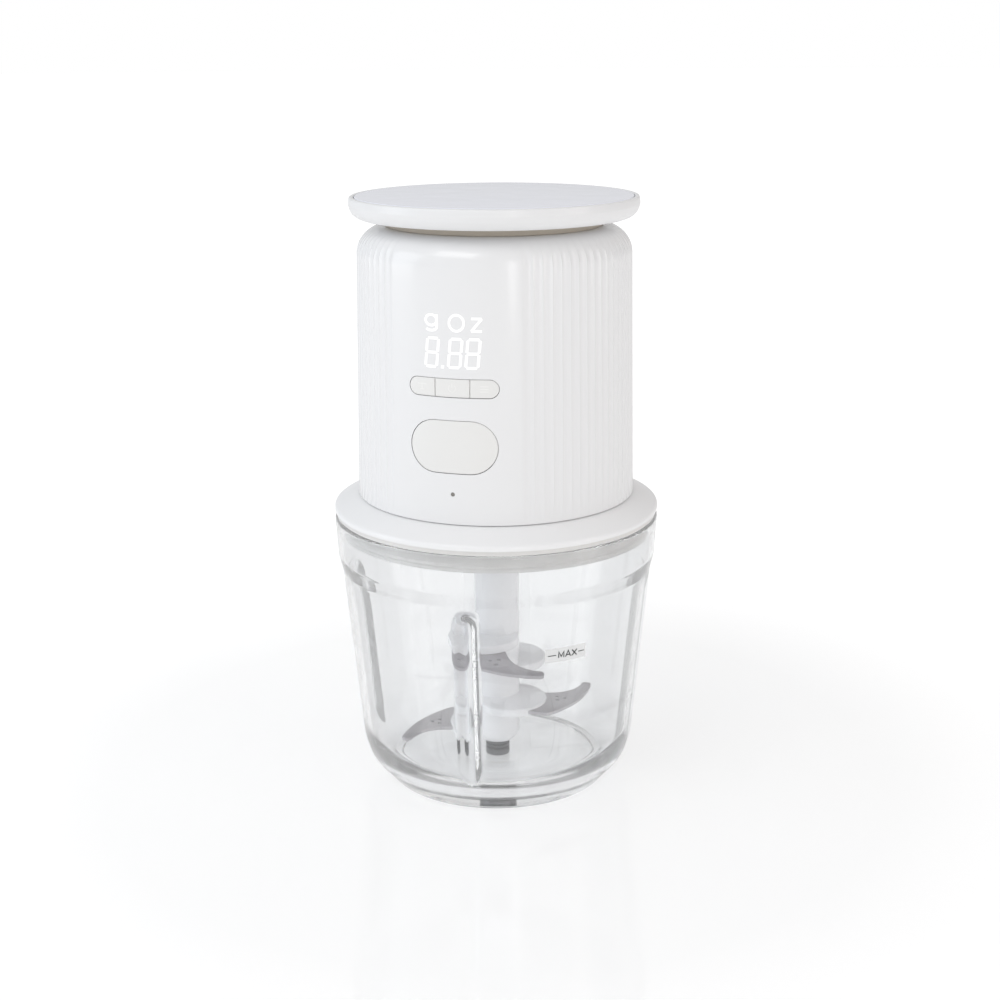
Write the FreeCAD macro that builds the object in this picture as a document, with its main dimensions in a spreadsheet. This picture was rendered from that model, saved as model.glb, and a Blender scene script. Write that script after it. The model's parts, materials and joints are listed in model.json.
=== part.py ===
"""Cordless food chopper with a built-in kitchen scale.

Millimetres. +Z is up, the front panel faces -Y, and the origin is the centre of the bowl's foot.
From the bottom up: clear bowl with the blade set on its pin, lid, motor unit, weighing platform.
"""
import FreeCAD, Part
import math
import os
import re

import Sketcher

Vector = FreeCAD.Vector

# Every size that can be set by itself: alias, value and what it is.
SIZES = {
    # bowl
    "bowl_height": (102.5, "rim above the foot"),
    "bowl_rim_radius": (59.9, "outside of the collar at the rim"),
    "collar_foot_radius": (59.2, "outside of the collar at its lower edge"),
    "collar_depth": (15.0, "collar below the rim"),
    "ledge_drop": (5.5, "height of the step under the collar"),
    "bowl_shoulder_radius": (57.8, "outside of the wall under the step"),
    "bowl_heel_radius": (51.5, "outside of the wall where it turns in to the foot"),
    "bowl_heel_height": (15.0, "height of that turn"),
    "bowl_knuckle_radius": (49.6, "outside of the foot's slope at its top"),
    "bowl_knuckle_height": (8.6, "height of the slope's top"),
    "bowl_foot_radius": (42.3, "flat foot"),
    "bowl_wall": (2.8, "wall"),
    "bowl_floor": (5.5, "inside floor above the foot"),
    "bowl_inner_rounding": (17.0, "rounding between floor and wall, inside"),
    "foot_recess_radius": (38.0, "hollow under the foot"),
    "foot_recess_depth": (0.8, "depth of that hollow"),
    "rib_radius": (4.0, "round inner rib"),
    "rib_sink": (1.2, "rib's centre line outside the inner wall"),
    "rib_angle": (5.5, "first rib, from the front towards +X"),
    # pin, sleeve and blade set
    "pin_radius": (2.5, "pivot pin"),
    "pin_top": (34.0, "pin's top above the foot"),
    "pin_collar_radius": (4.6, "collar at the pin's root"),
    "pin_collar_root": (1.6, "collar's lower face above the foot"),
    "pin_collar_top": (9.8, "collar's top above the foot"),
    "running_clearance": (0.05, "radial play of a shaft in its bore"),
    "seat_gap": (0.3, "play between pieces that only rest on each other"),
    "bush_wall": (1.4, "sleeve between pin and spindle"),
    "spindle_radius": (8.5, "blade spindle"),
    "spindle_foot": (10.6, "spindle's lower end above the foot"),
    "spindle_foot_radius": (6.6, "spindle's lower end"),
    "spindle_top": (95.5, "spindle's upper end above the foot"),
    "drive_flats": (11.6, "coupling across its flats"),
    "drive_depth": (13.0, "how far the coupling reaches into the spindle"),
    "drive_play": (0.2, "play of the coupling on each flat"),
    "blade_thickness": (1.3, "steel"),
    "blade_1_low": (12.4, "root of the lowest blade above the foot"),
    "blade_2_low": (27.6, "root of the second blade above the foot"),
    "blade_3_low": (39.6, "root of the third blade above the foot"),
    "blade_4_low": (52.9, "root of the top blade above the foot"),
    "upper_blade_droop": (10.0, "the two upper blades bend down from the spindle, in degrees"),
    "blade_angle": (17.0, "second blade's direction, from +X"),
    "blade_crossing": (104.0, "from the lower pair's line to the upper pair's, in degrees"),
    "blade_reach": (37.5, "tip from the axis"),
    "blade_hole_radius": (0.75, "each of the three small holes"),
    "blade_hole_place": (23.8, "middle of the three holes, along the blade"),
    "blade_hole_drop": (6.7, "middle of the three holes, across the blade"),
    "blade_boss_radius": (13.5, "round root that carries a blade"),
    "blade_boss_offset": (8.5, "middle of that root from the axis"),
    "blade_boss_angle": (-52.0, "that root's direction from the blade's"),
    "blade_boss_thickness": (3.2, "that root"),
    "blade_ring_inner": (5.2, "root ring inside the spindle"),
    "blade_ring_outer": (7.4, "root ring inside the spindle"),
    # lid and seal
    "seal_thickness": (1.9, "seal between rim and lid"),
    "seal_radius": (59.3, "outside of the seal"),
    "seal_lip": (0.3, "play between the seal's lips and the bowl"),
    "lid_radius": (60.0, "outside of the lid"),
    "lid_edge": (1.9, "height of the lid's upright edge"),
    "lid_crown": (6.4, "lid's top above its lower face"),
    "lid_crown_radius": (51.4, "where the lid's slope ends under the motor unit"),
    "lid_skirt": (9.0, "skirt inside the bowl"),
    "lid_skirt_radius": (54.6, "outside of the skirt"),
    "lid_skirt_wall": (2.2, "skirt"),
    "lid_floor": (2.4, "floor of the lid's well"),
    "lid_well_radius": (47.7, "well that takes the motor unit"),
    "lid_well_depth": (4.8, "depth of the well"),
    "lid_hub_wall": (2.4, "collar round the lid's middle hole"),
    "lid_hub_drop": (7.2, "collar below the well's floor"),
    # motor unit's shells
    "unit_gap": (0.5, "seam between lid and housing"),
    "housing_radius": (50.9, "outside of the housing at its lower edge"),
    "housing_top_radius": (49.3, "outside of the housing under the shoulder"),
    "housing_height": (96.8, "housing from its lower edge to its top"),
    "housing_shoulder": (10.0, "rounding of the shoulder"),
    "housing_wall": (2.4, "wall"),
    "neck_radius": (33.2, "opening in the housing's top"),
    "flute_count": (76, "flutes round the sides and back"),
    "panel_half_angle": (28.0, "half of the smooth front panel, in degrees"),
    "flute_depth": (0.45, "depth of a flute"),
    "cover_thickness": (2.6, "floor of the motor unit"),
    "cover_wall": (1.9, "wall of the underside"),
    "cover_rise": (4.4, "underside's rim inside the housing"),
    "cover_play": (0.3, "play round the underside"),
    "hub_radius": (11.0, "hub round the output shaft"),
    "hub_drop": (7.8, "hub below the underside"),
    "hub_lip": (1.0, "lip that holds the bearing"),
    # drive
    "shaft_radius": (4.0, "output shaft"),
    "bearing_radius": (8.0, "outside of the output bearing"),
    "bearing_length": (7.0, "output bearing"),
    "coupling_flange": (8.0, "radius of the coupling's flange"),
    "coupling_flange_thickness": (1.6, "flange of the coupling"),
    "tooth_module": (0.55, "module of all the gears"),
    "sun_teeth": (18, "teeth of the sun gear"),
    "planet_teeth": (27, "teeth of each planet"),
    "gear_width": (7.6, "face of the planets"),
    "tooth_thinning": (0.10, "taken off each tooth's thickness for backlash"),
    "carrier_thickness": (2.5, "planet carrier's disc"),
    "carrier_radius": (18.0, "planet carrier's disc"),
    "planet_pin_radius": (2.0, "carrier's pins"),
    "gearbox_radius": (23.0, "outside of the gearbox"),
    "gearbox_floor": (1.8, "gearbox's floor"),
    "motor_plate": (2.0, "plate between gearbox and motor"),
    "motor_radius": (18.0, "motor can"),
    "motor_length": (50.0, "motor can"),
    "motor_wall": (1.4, "motor can"),
    "end_cap": (5.0, "motor's plastic end cap"),
    "motor_shaft_radius": (1.6, "motor's shaft"),
    "armature_radius": (12.4, "armature"),
    "magnet_gap": (0.8, "air gap between armature and magnets"),
    # battery, frame and boards
    "cell_radius": (9.1, "lithium cell"),
    "cell_length": (65.0, "lithium cell"),
    "cell_place": (34.0, "cell's axis from the middle"),
    "cell_angle": (35.0, "cell's axis from the back, in degrees"),
    "cradle_wall": (1.1, "cups round the cells"),
    "cradle_height": (15.0, "cups round the cells"),
    "post_radius": (3.0, "frame's screw posts"),
    "post_place": (41.2, "posts from the middle"),
    "frame_plate_radius": (44.3, "frame's upper plate"),
    "frame_plate": (2.5, "thickness of that plate"),
    "frame_plate_drop": (24.6, "plate's lower face below the housing's top"),
    "frame_front": (35.0, "plate's straight front edge from the middle"),
    "screw_radius": (1.3, "screw's thread"),
    "screw_head": (2.6, "screw's head"),
    "screw_head_height": (1.3, "screw's head"),
    "board_thickness": (1.6, "circuit boards"),
    "main_board_radius": (39.0, "main board"),
    "main_board_rise": (3.0, "main board above the plate"),
    "panel_board_place": (40.0, "front of the panel board from the middle"),
    "panel_board_width": (32.0, "panel board"),
    # front panel
    "display_width": (22.0, "digit block"),
    "display_rise": (52.2, "digit block above the housing's lower edge"),
    "display_tall": (22.0, "digit block"),
    "display_depth": (5.0, "digit block"),
    "key_rise": (47.3, "middle of the key strip above the housing's lower edge"),
    "key_strip_width": (31.6, "key strip"),
    "key_strip_tall": (6.2, "key strip"),
    "key_middle_width": (12.1, "middle key"),
    "key_travel": (0.5, "keys press in"),
    "button_rise": (26.9, "middle of the chop button above the housing's lower edge"),
    "button_width": (31.0, "chop button"),
    "button_tall": (18.3, "chop button"),
    "button_travel": (1.0, "chop button presses in"),
    "button_depth": (44.2, "back of the chop button from the middle"),
    "key_depth": (45.6, "back of the keys from the middle"),
    "key_gap": (0.3, "gap round the keys and the button"),
    "switch_side": (6.0, "switch under a key"),
    "switch_height": (2.2, "switch under a key"),
    "light_rise": (10.4, "status light above the housing's lower edge"),
    "light_radius": (0.7, "status light"),
    # charging port
    "port_rise": (12.2, "middle of the charging port above the housing's lower edge"),
    "port_width": (9.0, "socket"),
    "port_tall": (3.2, "socket"),
    "port_length": (7.3, "socket"),
    "flap_width": (15.0, "soft flap over the port"),
    "flap_tall": (10.0, "soft flap over the port"),
    "flap_thickness": (1.5, "soft flap over the port"),
    # weighing platform
    "platform_gap": (2.8, "gap under the tray"),
    "platform_travel": (0.4, "how far the platform gives under its largest load"),
    "gasket_radius": (38.8, "outside of the ring in the gap"),
    "gasket_wall": (4.4, "ring in the gap"),
    "tray_radius": (51.8, "outside of the tray"),
    "tray_height": (7.4, "tray"),
    "tray_rounding": (4.6, "tray's lower edge"),
    "tray_floor": (2.2, "tray's floor"),
    "tray_wall": (1.9, "tray's rim"),
    "tray_island_radius": (9.0, "raised middle that carries the plate"),
    "plate_thickness": (2.2, "plate in the tray"),
    "plate_play": (0.3, "gap round the plate"),
    "beam_length": (52.0, "weighing beam"),
    "beam_width": (12.0, "weighing beam"),
    "beam_height": (6.0, "weighing beam"),
    "beam_rise": (11.0, "beam above the frame's plate"),
    "beam_offset": (2.0, "beam's middle towards -X"),
    "carrier_plate_radius": (32.0, "plate between beam and tray"),
    "carrier_plate": (2.4, "plate between beam and tray"),
}

# Heights and radii that follow from those sizes, as expressions on the sheet.
LID_FACE = "(bowl_height + seal_thickness)"
LID_TOP = f"({LID_FACE} + lid_crown)"
WELL_FLOOR = f"({LID_TOP} - lid_well_depth)"
UNIT_FACE = f"({WELL_FLOOR} + seat_gap)"
UNIT_FLOOR = f"({UNIT_FACE} + cover_thickness)"
HOUSING_LOW = f"({LID_TOP} + unit_gap)"
HOUSING_TOP = f"({HOUSING_LOW} + housing_height)"
HUB_END = f"({UNIT_FACE} - hub_drop)"
COLLAR_LOW = "(bowl_height - collar_depth)"
LEDGE_LOW = f"({COLLAR_LOW} - ledge_drop)"
BUSH_OUTER = "(pin_radius + running_clearance + bush_wall)"
GEARBOX_TOP = f"({UNIT_FLOOR} + gearbox_floor + seat_gap + carrier_thickness + seat_gap + gear_width + seat_gap)"
CARRIER_LOW = f"({UNIT_FLOOR} + gearbox_floor + seat_gap)"
GEAR_LOW = f"({CARRIER_LOW} + carrier_thickness + seat_gap)"
MOTOR_LOW = f"({GEARBOX_TOP} + motor_plate)"
MOTOR_TOP = f"({MOTOR_LOW} + motor_length)"
SHAFT_END = f"({HUB_END} - coupling_flange_thickness - seat_gap - drive_depth - 1)"
PLATE_LOW = f"({HOUSING_TOP} - frame_plate_drop)"
PLATE_TOP = f"({PLATE_LOW} + frame_plate)"
MAIN_BOARD_LOW = f"({PLATE_TOP} + main_board_rise)"
BEAM_LOW = f"({PLATE_TOP} + beam_rise)"
BEAM_TOP = f"({BEAM_LOW} + beam_height)"
TRAY_LOW = f"({HOUSING_TOP} + platform_gap)"
TRAY_TOP = f"({TRAY_LOW} + tray_height)"
TRAY_INNER = f"({TRAY_LOW} + tray_floor)"
PLATE_SEAT = f"({TRAY_TOP} - plate_thickness)"
PLANET_PLACE = "(tooth_module * (sun_teeth + planet_teeth) / 2)"
SOCKET_TIP = "((drive_flats / 2 + drive_play) / cos(30))"
DISPLAY_LOW = f"({HOUSING_LOW} + display_rise)"
DISPLAY_HIGH = f"({DISPLAY_LOW} + display_tall)"
KEY_HEIGHT = f"({HOUSING_LOW} + key_rise)"
BUTTON_HEIGHT = f"({HOUSING_LOW} + button_rise)"
LIGHT_HEIGHT = f"({HOUSING_LOW} + light_rise)"
PORT_HEIGHT = f"({HOUSING_LOW} + port_rise)"
FLAP_LOW = f"({PORT_HEIGHT} - flap_tall / 2)"
FLAP_FACE = f"(housing_radius - (housing_radius - housing_top_radius) * ({FLAP_LOW} - {HOUSING_LOW})" \
            " / (housing_height - housing_shoulder) - flute_depth)"

PLANETS = 3
RIBS = 4
BLADES = 4
PRESSURE_ANGLE = math.radians(20)
POST_ANGLES = (15, 165, 220, 320)

doc = FreeCAD.newDocument("Chopper")
sheet = doc.addObject("Spreadsheet::Sheet", "Sizes")
nodes = {}


# ---------------------------------------------------------------- helpers

def fill_sheet():
    """Write each size to its own cell, under its alias."""
    for row, (alias, (size, note)) in enumerate(SIZES.items(), start=1):
        sheet.set(f"A{row}", alias)
        sheet.set(f"B{row}", str(size))
        sheet.setAlias(f"B{row}", alias)
        sheet.set(f"C{row}", note)
    doc.recompute()


def bound(expression):
    """The expression with each size's name pointing at the sheet."""
    def point(match):
        word = match.group(0)
        return f"Sizes.{word}" if word in SIZES else word
    return re.sub(r"[A-Za-z_]\w*", point, str(expression))


def value(expression):
    """The expression's present value."""
    return float(sheet.evalExpression(bound(expression)))


def bind(thing, **properties):
    """Tie properties to expressions; Base_x stands for Placement.Base.x."""
    for name, expression in properties.items():
        path = f"Placement.Base.{name[-1]}" if name.startswith("Base_") else name
        thing.setExpression(path, bound(expression))
    return thing


def node(label, thing):
    """Name a finished piece."""
    thing.Label = label
    nodes[label] = thing
    return thing


def feature(label, shape):
    """A piece whose shape is worked out here."""
    thing = doc.addObject("Part::Feature", label)
    thing.Shape = shape
    return thing


def box(label, x, y, z):
    """A block between two places on each axis."""
    thing = doc.addObject("Part::Box", label)
    return bind(thing, Length=f"({x[1]}) - ({x[0]})", Width=f"({y[1]}) - ({y[0]})",
                Height=f"({z[1]}) - ({z[0]})", Base_x=x[0], Base_y=y[0], Base_z=z[0])


def cylinder(label, radius, low, high, x="0", y="0"):
    """An upright cylinder between two heights."""
    thing = doc.addObject("Part::Cylinder", label)
    return bind(thing, Radius=radius, Height=f"({high}) - ({low})", Base_x=x, Base_y=y, Base_z=low)


def rod(label, radius, near, far, z, x="0"):
    """A cylinder that lies along Y between two places."""
    thing = doc.addObject("Part::Cylinder", label)
    thing.Placement = FreeCAD.Placement(Vector(), FreeCAD.Rotation(Vector(1, 0, 0), -90))
    return bind(thing, Radius=radius, Height=f"({far}) - ({near})", Base_x=x, Base_y=near, Base_z=z)


def tube(label, outer, inner, low, high):
    """A ring round the axis."""
    return cut(label, cylinder(label + "_outside", outer, low, high),
               cylinder(label + "_inside", inner, f"({low}) - 1", f"({high}) + 1"))


def fuse(label, *parts):
    """The parts joined into one."""
    thing = doc.addObject("Part::MultiFuse", label)
    thing.Shapes = list(parts)
    thing.Refine = True
    return thing


def cut(label, base, *tools):
    """The base with every tool taken away."""
    thing = doc.addObject("Part::Cut", label)
    thing.Base = base
    thing.Tool = tools[0] if len(tools) == 1 else fuse(label + "_tools", *tools)
    thing.Refine = True
    return thing


def common(label, one, other):
    """What two pieces share."""
    thing = doc.addObject("Part::Common", label)
    thing.Base = one
    thing.Tool = other
    return thing


def stadium(label, width, tall, z, near, far):
    """A bar along Y whose outline is a slot with round ends."""
    half = f"(({width}) - ({tall})) / 2"
    radius = f"({tall}) / 2"
    middle = box(label + "_middle", (f"-({half})", half), (near, far), (f"{z} - {radius}", f"{z} + {radius}"))
    ends = [rod(f"{label}_end_{side}", radius, near, far, z, f"{sign}({half})")
            for side, sign in (("left", "-"), ("right", ""))]
    return fuse(label, middle, *ends)


def polar(radius, degrees):
    """The expressions for a point at an angle from +X."""
    angle = math.radians(degrees)
    return f"({radius}) * {math.cos(angle):.6f}", f"({radius}) * {math.sin(angle):.6f}"


def place_corner(sketch, item, spot, index, radius, height):
    """Tie one corner of a section to its radius and height."""
    for axis, kind, line, expression, size in (("radius", "DistanceX", -2, radius, spot.x),
                                               ("height", "DistanceY", -1, height, spot.y)):
        if expression == "0":
            sketch.addConstraint(Sketcher.Constraint("PointOnObject", item, 1, line))
        else:
            number = sketch.addConstraint(Sketcher.Constraint(kind, -1, 1, item, 1, size))
            sketch.renameConstraint(number, f"{axis}_{index}")
            sketch.setExpression(f"Constraints.{axis}_{index}", bound(expression))


def draw_section(sketch, corners):
    """A closed outline of straight lines through (radius, height) corners, some of them rounded."""
    spots = [Vector(value(corner[0]), value(corner[1]), 0) for corner in corners]
    rounds = [corner[2] if len(corner) > 2 else None for corner in corners]
    count = len(corners)
    starts, ends, arcs = list(spots), list(spots), {}
    for i, rounding in enumerate(rounds):
        if rounding is None:
            continue
        come = (spots[i] - spots[i - 1]).normalize()
        leave = (spots[(i + 1) % count] - spots[i]).normalize()
        turn = math.atan2(come.x * leave.y - come.y * leave.x, come.dot(leave))
        size = value(rounding)
        reach = size * math.tan(abs(turn) / 2)
        ends[i], starts[i] = spots[i] - come * reach, spots[i] + leave * reach
        side = 1 if turn > 0 else -1
        centre = ends[i] + Vector(-come.y, come.x, 0) * size * side
        first, last = (ends[i], starts[i]) if turn > 0 else (starts[i], ends[i])
        angles = [math.atan2(p.y - centre.y, p.x - centre.x) for p in (first, last)]
        arcs[i] = (Part.ArcOfCircle(Part.Circle(centre, Vector(0, 0, 1), size), *angles), turn > 0)
    lines = [sketch.addGeometry(Part.LineSegment(starts[i], ends[(i + 1) % count]), False)
             for i in range(count)]
    for i, (radius, height) in enumerate(corner[:2] for corner in corners):
        before, after = lines[i - 1], lines[i]
        if i not in arcs:
            sketch.addConstraint(Sketcher.Constraint("Coincident", before, 2, after, 1))
            place_corner(sketch, after, spots[i], i, radius, height)
            continue
        curve, left = arcs[i]
        arc = sketch.addGeometry(curve, False)
        mark = sketch.addGeometry(Part.Point(spots[i]), True)
        sketch.addConstraint(Sketcher.Constraint("Tangent", before, 2, arc, 1 if left else 2))
        sketch.addConstraint(Sketcher.Constraint("Tangent", after, 1, arc, 2 if left else 1))
        sketch.addConstraint(Sketcher.Constraint("PointOnObject", mark, 1, before))
        sketch.addConstraint(Sketcher.Constraint("PointOnObject", mark, 1, after))
        place_corner(sketch, mark, spots[i], i, radius, height)
        number = sketch.addConstraint(Sketcher.Constraint("Radius", arc, value(rounds[i])))
        sketch.renameConstraint(number, f"rounding_{i}")
        sketch.setExpression(f"Constraints.rounding_{i}", bound(rounds[i]))


def revolved(label, corners):
    """A body turned round the axis from its half section."""
    body = doc.addObject("PartDesign::Body", label)
    sketch = body.newObject("Sketcher::SketchObject", label + "_section")
    plane = next(item for item in body.Origin.OriginFeatures if item.Role == "XZ_Plane")
    sketch.AttachmentSupport = [(plane, "")]
    sketch.MapMode = "FlatFace"
    draw_section(sketch, corners)
    turn = body.newObject("PartDesign::Revolution", label + "_turn")
    turn.Profile = sketch
    turn.ReferenceAxis = (sketch, ["V_Axis"])
    turn.Angle = 360
    body.Tip = turn
    return body


def wall_radius(height):
    """Outside of the bowl's straight wall at a height."""
    return (f"(bowl_heel_radius + (bowl_shoulder_radius - bowl_heel_radius) * ({height} - bowl_heel_height)"
            f" / ({LEDGE_LOW} - bowl_heel_height))")


def housing_at(height):
    """Outside of the housing's straight wall at a height."""
    return (f"(housing_radius - (housing_radius - housing_top_radius) * ({height} - {HOUSING_LOW})"
            " / (housing_height - housing_shoulder))")


# ---------------------------------------------------------------- bowl and blade set

def make_bowl():
    outside = revolved("bowl_outside", [
        ("0", "foot_recess_depth"), ("foot_recess_radius", "foot_recess_depth"),
        ("foot_recess_radius + 1", "0"), ("bowl_foot_radius", "0", "0.8"),
        ("bowl_knuckle_radius", "bowl_knuckle_height", "12"), ("bowl_heel_radius", "bowl_heel_height", "25"),
        ("bowl_shoulder_radius", LEDGE_LOW, "6"), ("collar_foot_radius", COLLAR_LOW, "4"),
        ("bowl_rim_radius", "bowl_height - 3"), ("bowl_rim_radius", "bowl_height", "0.9"), ("0", "bowl_height")])
    inner_low = f"({wall_radius('bowl_floor')} - bowl_wall)"
    inner_ledge = "(bowl_shoulder_radius - bowl_wall)"
    cavity = revolved("bowl_cavity", [
        ("0", "bowl_floor"), (inner_low, "bowl_floor", "bowl_inner_rounding"), (inner_ledge, LEDGE_LOW, "6"),
        ("collar_foot_radius - bowl_wall + 0.4", COLLAR_LOW, "4"), ("bowl_rim_radius - bowl_wall", "bowl_height"),
        ("bowl_rim_radius - bowl_wall", "bowl_height + 5"), ("0", "bowl_height + 5")])
    low = Vector(value(f"{inner_low} + rib_sink"), 0, value("bowl_floor"))
    high = Vector(value(f"{inner_ledge} + rib_sink"), 0, value(LEDGE_LOW))
    axis = (high - low).normalize()
    rib = Part.makeCylinder(value("rib_radius"), (high - low).Length - value("rib_radius"), low, axis)
    rib = rib.fuse(Part.makeSphere(value("rib_radius"), high - axis * value("rib_radius")))
    ribs = []
    for step in range(RIBS):
        copy = rib.copy()
        copy.rotate(Vector(), Vector(0, 0, 1), value("rib_angle") - 90 + step * 360 / RIBS)
        ribs.append(copy)
    rib_set = feature("bowl_ribs", ribs[0].multiFuse(ribs[1:]))
    hollow = cut("bowl_hollow", cavity, rib_set)
    socket = cylinder("pin_socket", "pin_collar_radius", "pin_collar_root", "bowl_floor + 1")
    node("bowl", cut("bowl", outside, hollow, socket))
    collar = cylinder("pin_collar", "pin_collar_radius", "pin_collar_root", "pin_collar_top")
    pin = cylinder("pin_rod", "pin_radius", "pin_collar_top - 1", "pin_top")
    node("bowl_pin", fuse("bowl_pin", collar, pin))


def blade_shape(droop):
    """One blade, pointing along +X at height 0, with three small holes; it bends down at its root ring."""
    reach, thick = value("blade_reach"), value("blade_thickness")
    corners = {name: Vector(x * reach, y * reach, 0) for name, x, y in (
        ("heel", 0.491, -0.557), ("belly", 0.827, -0.200), ("tip_outer", 0.981, 0.192), ("tip", 0.944, 0.232),
        ("tip_inner", 0.888, 0.219), ("hollow", 0.763, 0.037), ("neck_end", 0.547, -0.032),
        ("neck_root", 0.147, -0.027), ("back_root", 0.080, -0.427))}
    edges = [
        Part.Arc(corners["heel"], corners["belly"], corners["tip_outer"]).toShape(),
        Part.Arc(corners["tip_outer"], corners["tip"], corners["tip_inner"]).toShape(),
        Part.Arc(corners["tip_inner"], corners["hollow"], corners["neck_end"]).toShape(),
        Part.LineSegment(corners["neck_end"], corners["neck_root"]).toShape(),
        Part.LineSegment(corners["neck_root"], corners["back_root"]).toShape(),
        Part.LineSegment(corners["back_root"], corners["heel"]).toShape()]
    leaf = Part.Face(Part.Wire(edges)).extrude(Vector(0, 0, thick))
    spread = 2.6 * value("blade_hole_radius")
    for turn in (0, 120, 240):
        angle = math.radians(turn)
        spot = Vector(value("blade_hole_place") + spread * math.cos(angle),
                      spread * math.sin(angle) - value("blade_hole_drop"), 0)
        leaf = leaf.cut(Part.makeCylinder(value("blade_hole_radius"), thick, spot))
    inner, outer = value("blade_ring_inner"), value("blade_ring_outer")
    leaf.rotate(Vector((inner + outer) / 2, 0, thick / 2), Vector(0, 1, 0), droop)
    plate = leaf.fuse(Part.makeCylinder(outer, thick)).removeSplitter()
    return plate.cut(Part.makeCylinder(inner, 3 * thick, Vector(0, 0, -thick)))


def blade_turn(step):
    """A blade's direction: the pairs point opposite ways, and the upper pair crosses the lower one."""
    pair, side = divmod(step, 2)
    return value("blade_angle") + pair * value("blade_crossing") + (180 if side == pair else 0)


def make_blades():
    """Four blades, each a step up from the one before it."""
    blades = []
    for step in range(BLADES):
        shape = blade_shape(value("upper_blade_droop") if step >= BLADES / 2 else 0)
        shape.rotate(Vector(), Vector(0, 0, 1), blade_turn(step))
        shape.translate(Vector(0, 0, value(f"blade_{step + 1}_low")))
        blades.append(node(f"blade_{step + 1}", feature(f"blade_{step + 1}", shape)))
    return blades


def make_spindle(blades):
    body = revolved("spindle_body", [
        ("0", "spindle_foot"), ("spindle_foot_radius", "spindle_foot", "0.8"),
        ("spindle_radius", "spindle_foot + 2.4", "3"), ("spindle_radius", "spindle_top", "0.8"),
        ("0", "spindle_top")])
    bosses = []
    for step in range(BLADES):
        x, y = polar("blade_boss_offset", blade_turn(step) + value("blade_boss_angle"))
        low = f"(blade_{step + 1}_low - (blade_boss_thickness - blade_thickness) / 2)"
        bosses.append(cylinder(f"blade_boss_{step + 1}", "blade_boss_radius", low,
                               f"{low} + blade_boss_thickness", x, y))
    bore = cylinder("spindle_bore", f"{BUSH_OUTER} + running_clearance", "spindle_foot - 3",
                    "pin_top + 2 + seat_gap")
    socket = doc.addObject("Part::Prism", "spindle_socket")
    socket.Polygon = 6
    bind(socket, Circumradius=SOCKET_TIP, Height="drive_depth + 4", Base_z="spindle_top - drive_depth - 2")
    node("spindle", cut("spindle", fuse("spindle_column", body, *bosses), bore, socket, *blades))
    node("spindle_bush", cut("spindle_bush",
                             cylinder("bush_outside", BUSH_OUTER, "pin_collar_top + seat_gap", "pin_top + 2"),
                             cylinder("bush_inside", "pin_radius + running_clearance", "pin_collar_top",
                                      "pin_top + seat_gap")))


# ---------------------------------------------------------------- lid

def make_lid():
    hub_inner = "(hub_radius + 0.4)"
    skirt_end = f"({LID_FACE} - lid_skirt)"
    floor_low = f"({WELL_FLOOR} - lid_floor)"
    inner_skirt = "(lid_skirt_radius - lid_skirt_wall)"
    node("lid", revolved("lid", [
        (hub_inner, f"{floor_low} - lid_hub_drop + lid_floor"),
        (f"{hub_inner} + lid_hub_wall", f"{floor_low} - lid_hub_drop + lid_floor", "0.5"),
        (f"{hub_inner} + lid_hub_wall", floor_low, "1.5"), (inner_skirt, floor_low, "1.5"),
        (inner_skirt, skirt_end, "0.5"), ("lid_skirt_radius", skirt_end, "0.5"), ("lid_skirt_radius", LID_FACE),
        ("lid_radius", LID_FACE, "0.4"), ("lid_radius", f"{LID_FACE} + lid_edge", "1.4"),
        ("lid_crown_radius", LID_TOP, "8"), ("lid_well_radius", LID_TOP, "0.3"),
        ("lid_well_radius", WELL_FLOOR, "0.6"), (hub_inner, WELL_FLOOR)]))
    lip = "(bowl_rim_radius - bowl_wall - seal_lip)"
    back = "(lid_skirt_radius)"
    body = f"({lip} - 0.5)"
    low = f"({LID_FACE} - lid_skirt + 0.6)"
    node("lid_seal", revolved("lid_seal", [
        (back, low), (body, low, "0.4"), (body, f"{low} + 1.2"), (lip, f"{low} + 2.0"), (body, f"{low} + 2.8"),
        (body, "bowl_height + 0.2", "0.4"), ("seal_radius", "bowl_height + 0.2", "0.3"),
        ("seal_radius", LID_FACE), (back, LID_FACE)]))


# ---------------------------------------------------------------- motor unit: shells

def fluted_wire(radius, height):
    """One ring of the housing's outline: a smooth front arc, then hollow flutes round to it again."""
    count, depth = int(value("flute_count")), value("flute_depth")
    panel = math.radians(value("panel_half_angle"))
    pitch = (2 * math.pi - 2 * panel) / count

    def spot(distance, angle):
        return Vector(distance * math.sin(angle), -distance * math.cos(angle), height)

    edges = [Part.Arc(spot(radius, -panel), spot(radius, 0), spot(radius, panel)).toShape()]
    for step in range(count):
        start = panel + step * pitch
        edges.append(Part.Arc(spot(radius, start), spot(radius - depth, start + pitch / 2),
                              spot(radius, start + pitch)).toShape())
    return Part.Wire(edges)


def make_envelope():
    """The housing's outer form without its flutes, as a solid."""
    return revolved("housing_envelope", [
        ("0", HOUSING_LOW), ("housing_radius", HOUSING_LOW, "0.5"),
        (housing_at(HOUSING_TOP), HOUSING_TOP, "housing_shoulder"), ("0", HOUSING_TOP)])


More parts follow.
